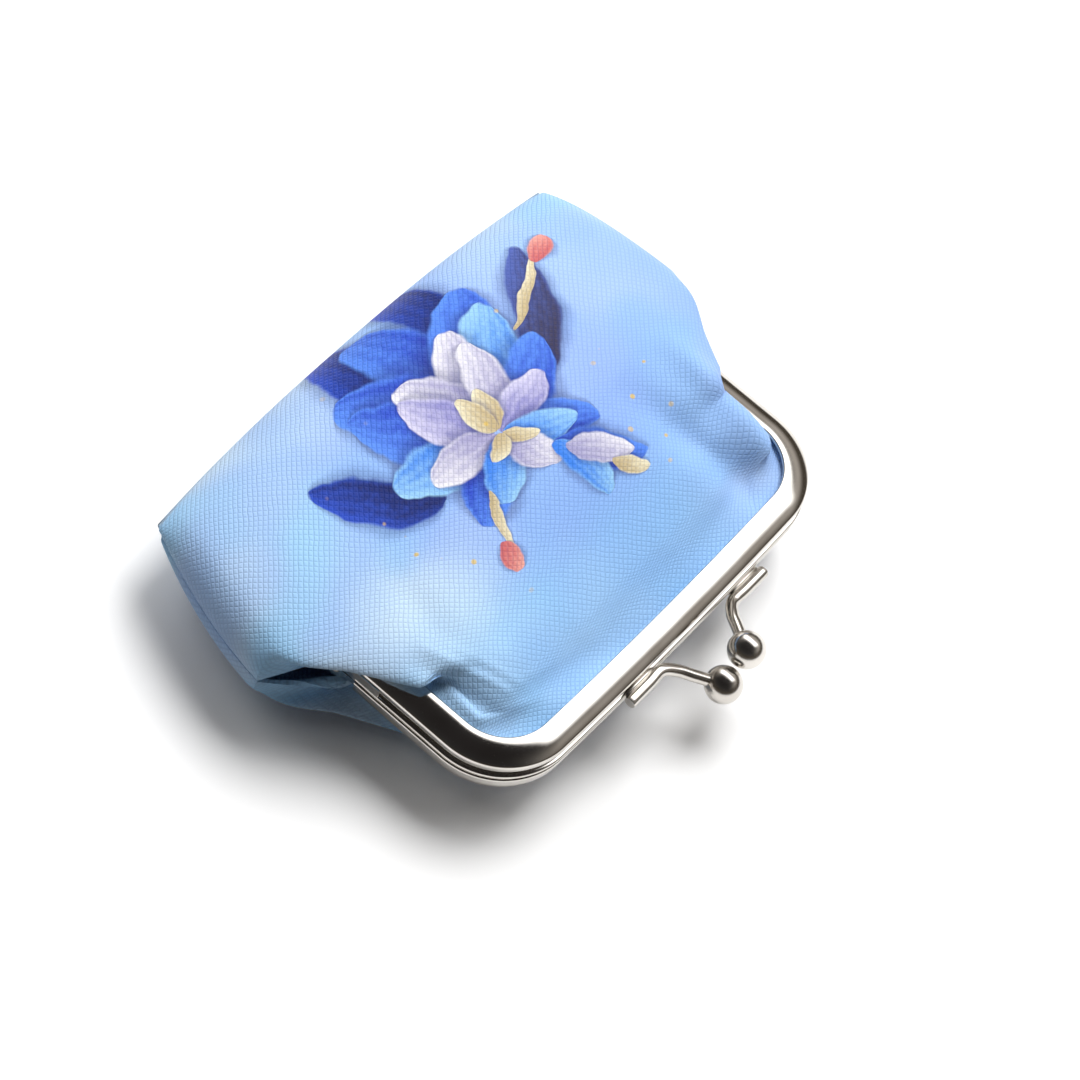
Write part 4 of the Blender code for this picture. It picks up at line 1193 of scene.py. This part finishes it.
def make_frame(metal, rivet_metal):
    """The frame's two halves, with the back's ears inside the front's, and the rivets."""
    for layer, (word, up) in enumerate(HALVES):
        solids = [tube_solid(channel_sections(up))]
        solids += [tube_solid(ear_sections(up, layer, side), ring=True) for side in (-1, 1)]
        if layer == 1:
            solids += [tube_solid(lug_points(up, side)) for side in (-1, 1)]
        half = piece(word + "_frame_channel", solids, metal, sharp=35)
        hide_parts(word + "_frame")
        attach(half, word + "_half")
    for word, side in (("left", -1), ("right", 1)):
        solid = tube_solid(rivet_sections(side))
        rivet = piece("rivet_" + word, [solid], rivet_metal)
        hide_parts("hinge_rivet_" + word)
        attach(rivet, "back_half")


def make_clasp(metal):
    """Two wires, each with a ball at its end and a bead of solder at its foot."""
    for word, up in HALVES:
        route = wire_route(up)
        radii = np.full(len(route), WIRE_PLATING * WIRE_RADIUS)
        radii[: len(WIRE_CUT)] *= WIRE_CUT
        root, centre = wire_root(up), ball_centre(up)
        solid = tube_solid(tube_sections(route, radii, 28))
        wire = piece(word + "_clasp_wire", [solid], metal)
        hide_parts(word + "_clasp_arm")
        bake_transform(wire)
        turns = np.linspace(POLE, math.pi - POLE, 49)
        stations = np.c_[-BALL_RADIUS * np.cos(turns), BALL_RADIUS * np.sin(turns)]
        solid = tube_solid(turned(stations, centre, 72))
        ball = piece(word + "_clasp_bead", [solid], metal)
        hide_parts(word + "_clasp_ball")
        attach(ball, word + "_clasp")
        solder = piece(word + "_clasp_solder", [solder_solid(up)], metal)
        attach(solder, word + "_half")


def solder_solid(up):
    """A low bead of solder between the wire and the bar: an oval section that swells by a sine."""
    count, (from_end, from_root) = 24, SOLDER_INSETS
    end_x, root = CLASP_SHIFT - up * WIRE_END, wire_root(up)
    x = np.linspace(end_x + up * from_end, root[0] - up * from_root, count)
    y = np.full(count, -FRAME_REACH - BAR_ARCH / 2 - CLEARANCE / 2)
    path = at_height(np.c_[x, y], root[2])
    swell = 0.35 + 0.65 * np.sin(np.linspace(0, math.pi, count)) ** 0.5
    sections = tube_sections(path, swell * SOLDER_RADIUS, 20)
    middle = path[:, None]
    return tube_solid(middle + (sections - middle) * SOLDER_OVAL)


def make_cords(paper, thread):
    """The paper cord in each channel, and the thread of the two side seams and the bottom."""
    end = CHANNEL_END + EAR_OVERLAP + PARTING_GAP + 2 * CLEARANCE
    route = frame_path(CHANNEL_CORD_INSET, 40, 90, end)
    for word, up in reversed(HALVES):
        path = at_height(route, PARTING + up * CHANNEL_CORD_LEVEL)
        sections = tube_sections(path, 0.95 * CHANNEL_CORD_RADIUS, 16, CORD_TWIST, PLIES, 0.12)
        cord = piece(word + "_paper_cord", [tube_solid(sections)], paper)
        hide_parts(word + "_channel_cord")
        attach(cord, word + "_half")
    rows = np.linspace(SEAM_TOP + THREAD_END, BAG_BOTTOM - THREAD_END, 160)
    edge = skin(rows, sheet_columns(20), 1, THREAD_INSET)
    bottom = skin(np.array([BAG_BOTTOM]), sheet_columns(100), 1, THREAD_INSET)[0]
    bottom = bottom[np.abs(bottom[:, 0]) < BOTTOM_HALF - THREAD_END]
    for word, path in (("left", edge[:, 0]), ("right", edge[:, -1]), ("bottom", bottom)):
        wave = np.sin(2 * math.pi * travelled(path) / STITCH)
        path = np.c_[path[:, :2], PARTING + 0.3 * THREAD_RADIUS * wave]
        sections = tube_sections(path, 0.9 * THREAD_RADIUS, 10, THREAD_TWIST, PLIES, 0.2)
        seam = piece(word + "_seam_stitching", [tube_solid(sections)], thread)
        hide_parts(word + "_seam_thread")
        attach(seam, "back_half")


# ---- Stage

SENSOR_WIDTH = 36.0
LENS = 117.28  # millimetres
CAMERA_PLACE = (-0.27446, -0.11328, 0.48914)
CAMERA_RIGHT = (0.62969, -0.75207, 0.19464)
CAMERA_UP = (0.60525, 0.63202, 0.48397)
CAMERA_BACK = (-0.48699, -0.18695, 0.85317)
# Lamps: name, direction from the purse, distance, size and watts
LAMPS = (
    ("key_softbox", (0.49, 0.06, 0.87), 0.9, (0.46, 0.52), 6.0),
    ("fill_softbox", (-0.15, 0.6, 0.75), 0.9, (0.6, 0.6), 1.4),
)
# The window's edges: the axis of a direction, where it is dark along it and where it is lit
WINDOW_EDGES = ((0, 0.26, 0.38), (0, 0.72, 0.6), (1, -0.6, -0.35), (1, 0.85, 0.65), (2, 0.2, 0.4))
WINDOW_BRIGHTNESS = 3.0
DARK_WALL = (0.035, 0.035, 0.035, 1.0)
LIT_WALL = (0.56, 0.52, 0.48, 1.0)
WALL_FOOT = (0.07, 0.058, 0.046, 1.0)
CEILING = (0.022, 0.02, 0.02, 1.0)
FLOOR_HALF = 3.0
FLOOR_BOUNCE = 0.42  # the floor's grey that lights the purse, and the one that is seen
FLOOR_SEEN = 1.07


def grey(share):
    """A grey, for a shader."""
    return (share, share, share, 1.0)


def make_camera():
    """A camera where the photo's stood."""
    data = bpy.data.cameras.new("camera")
    data.lens = LENS
    data.sensor_width = SENSOR_WIDTH
    data.clip_start = 0.01
    camera = placed("camera", data)
    turn = Matrix((CAMERA_RIGHT, CAMERA_UP, CAMERA_BACK)).transposed()
    camera.matrix_world = Matrix.Translation(CAMERA_PLACE) @ turn.to_4x4()
    bpy.context.scene.camera = camera


def make_lamp(name, direction, away, size, watts):
    """A soft box that lights the purse from a direction, and that metal doesn't mirror."""
    data = bpy.data.lights.new(name, "AREA")
    data.shape = "RECTANGLE"
    data.size, data.size_y = size
    data.energy = watts
    lamp = placed(name, data)
    lamp.visible_glossy = False
    back = Vector(direction).normalized()
    turn = back.to_track_quat("Z", "Y").to_matrix().to_4x4()
    lamp.matrix_world = Matrix.Translation(back * away) @ turn


def ray_kinds(tree, *kinds):
    """Signals that are 1 for rays of each kind, and else 0."""
    path = tree.nodes.new("ShaderNodeLightPath")
    return [Signal(path.outputs[f"Is {kind} Ray"]) for kind in kinds]


def make_world():
    """White behind everything that the camera sees. The purse is lit by, and mirrors, pale walls
    on one side and dark ones on the other, a dark ceiling and a bright window."""
    world = bpy.data.worlds.new("studio")
    bpy.context.scene.world = world
    world.use_nodes = True
    tree = world.node_tree
    tree.nodes.clear()
    direction = axes(node(tree, "TexCoord", output="Generated"))
    x, _, z = direction
    edges = [ramp(direction[axis], low, high) for axis, low, high in WINDOW_EDGES]
    window = math.prod(edges[1:], start=edges[0])
    walls = mixed(ramp(x, -0.35, 0.75), DARK_WALL, LIT_WALL)
    walls = mixed(ramp(z, 0.25, 0.62), WALL_FOOT, walls)
    shade = mixed(ramp(z, 0.45, 0.95), walls, CEILING)
    shade = mixed(window, shade, grey(WINDOW_BRIGHTNESS))
    camera, glossy, through = ray_kinds(tree, "Camera", "Glossy", "Transmission")
    low = (glossy + through).clamped() * ramp(z, 0.05, 0.0)
    colour = mixed((camera + low).clamped(), shade, grey(1.0))
    light = node(tree, "Background", {"Color": colour, "Strength": 1.0})
    out = tree.nodes.new("ShaderNodeOutputWorld")
    out.is_active_output = True
    feed(out, {"Surface": light})


def make_floor():
    """A white sheet that shows the camera only its shadows, and plain white further off."""
    mesh = bpy.data.meshes.new("floor")
    corners = [(x * FLOOR_HALF, y * FLOOR_HALF, 0) for x, y in ((-1, -1), (1, -1), (1, 1), (-1, 1))]
    mesh.from_pydata(corners, [], [(0, 1, 2, 3)])
    made = bpy.data.materials.new("white_sweep")
    made.use_nodes = True
    tree = made.node_tree
    tree.nodes.clear()
    camera, glossy = ray_kinds(tree, "Camera", "Glossy")
    colour = mixed((camera + glossy).clamped(), grey(FLOOR_BOUNCE), grey(FLOOR_SEEN))
    near = node(tree, "BsdfDiffuse", {"Color": colour})
    white = node(tree, "Emission", {"Color": grey(1.0), "Strength": 1.0})
    far = camera * ramp(distance(node(tree, "TexCoord", output="Object")), 0.13, 0.3)
    shown = node(tree, "MixShader", {0: far, 1: near, 2: white})
    feed(tree.nodes.new("ShaderNodeOutputMaterial"), {"Surface": shown})
    mesh.materials.append(made)
    floor = placed("floor", mesh)


def main():
    """Makes the finishes, the pieces and the stage."""
    wear = group("rub_marks", {"Place": ORIGIN}, rub_marks)
    frame_metal = nickel("nickel_plate", wear, 0.11)
    make_bag(printed_leather(), woven_lining())
    make_frame(frame_metal, nickel("nickel_rivet", wear, 0.14))
    make_clasp(nickel("nickel_clasp", wear, 0.19))
    paper_colours = (186, 168, 134), (226, 212, 184)
    paper = fibrous("twisted_paper", {"Roughness": 0.9}, (3.0, 4.0, 0.7), paper_colours, 0.08)
    thread_colours = (150, 176, 222), (206, 222, 246)
    spun = {"Roughness": 0.7, "Sheen Weight": 0.3}
    make_cords(paper, fibrous("spun_thread", spun, (6.0, 3.0, 0.6), thread_colours, 0.03))
    make_camera()
    make_world()
    make_floor()
    for lamp in LAMPS:
        make_lamp(*lamp)
    bpy.context.scene.view_settings.view_transform = "Standard"


main()
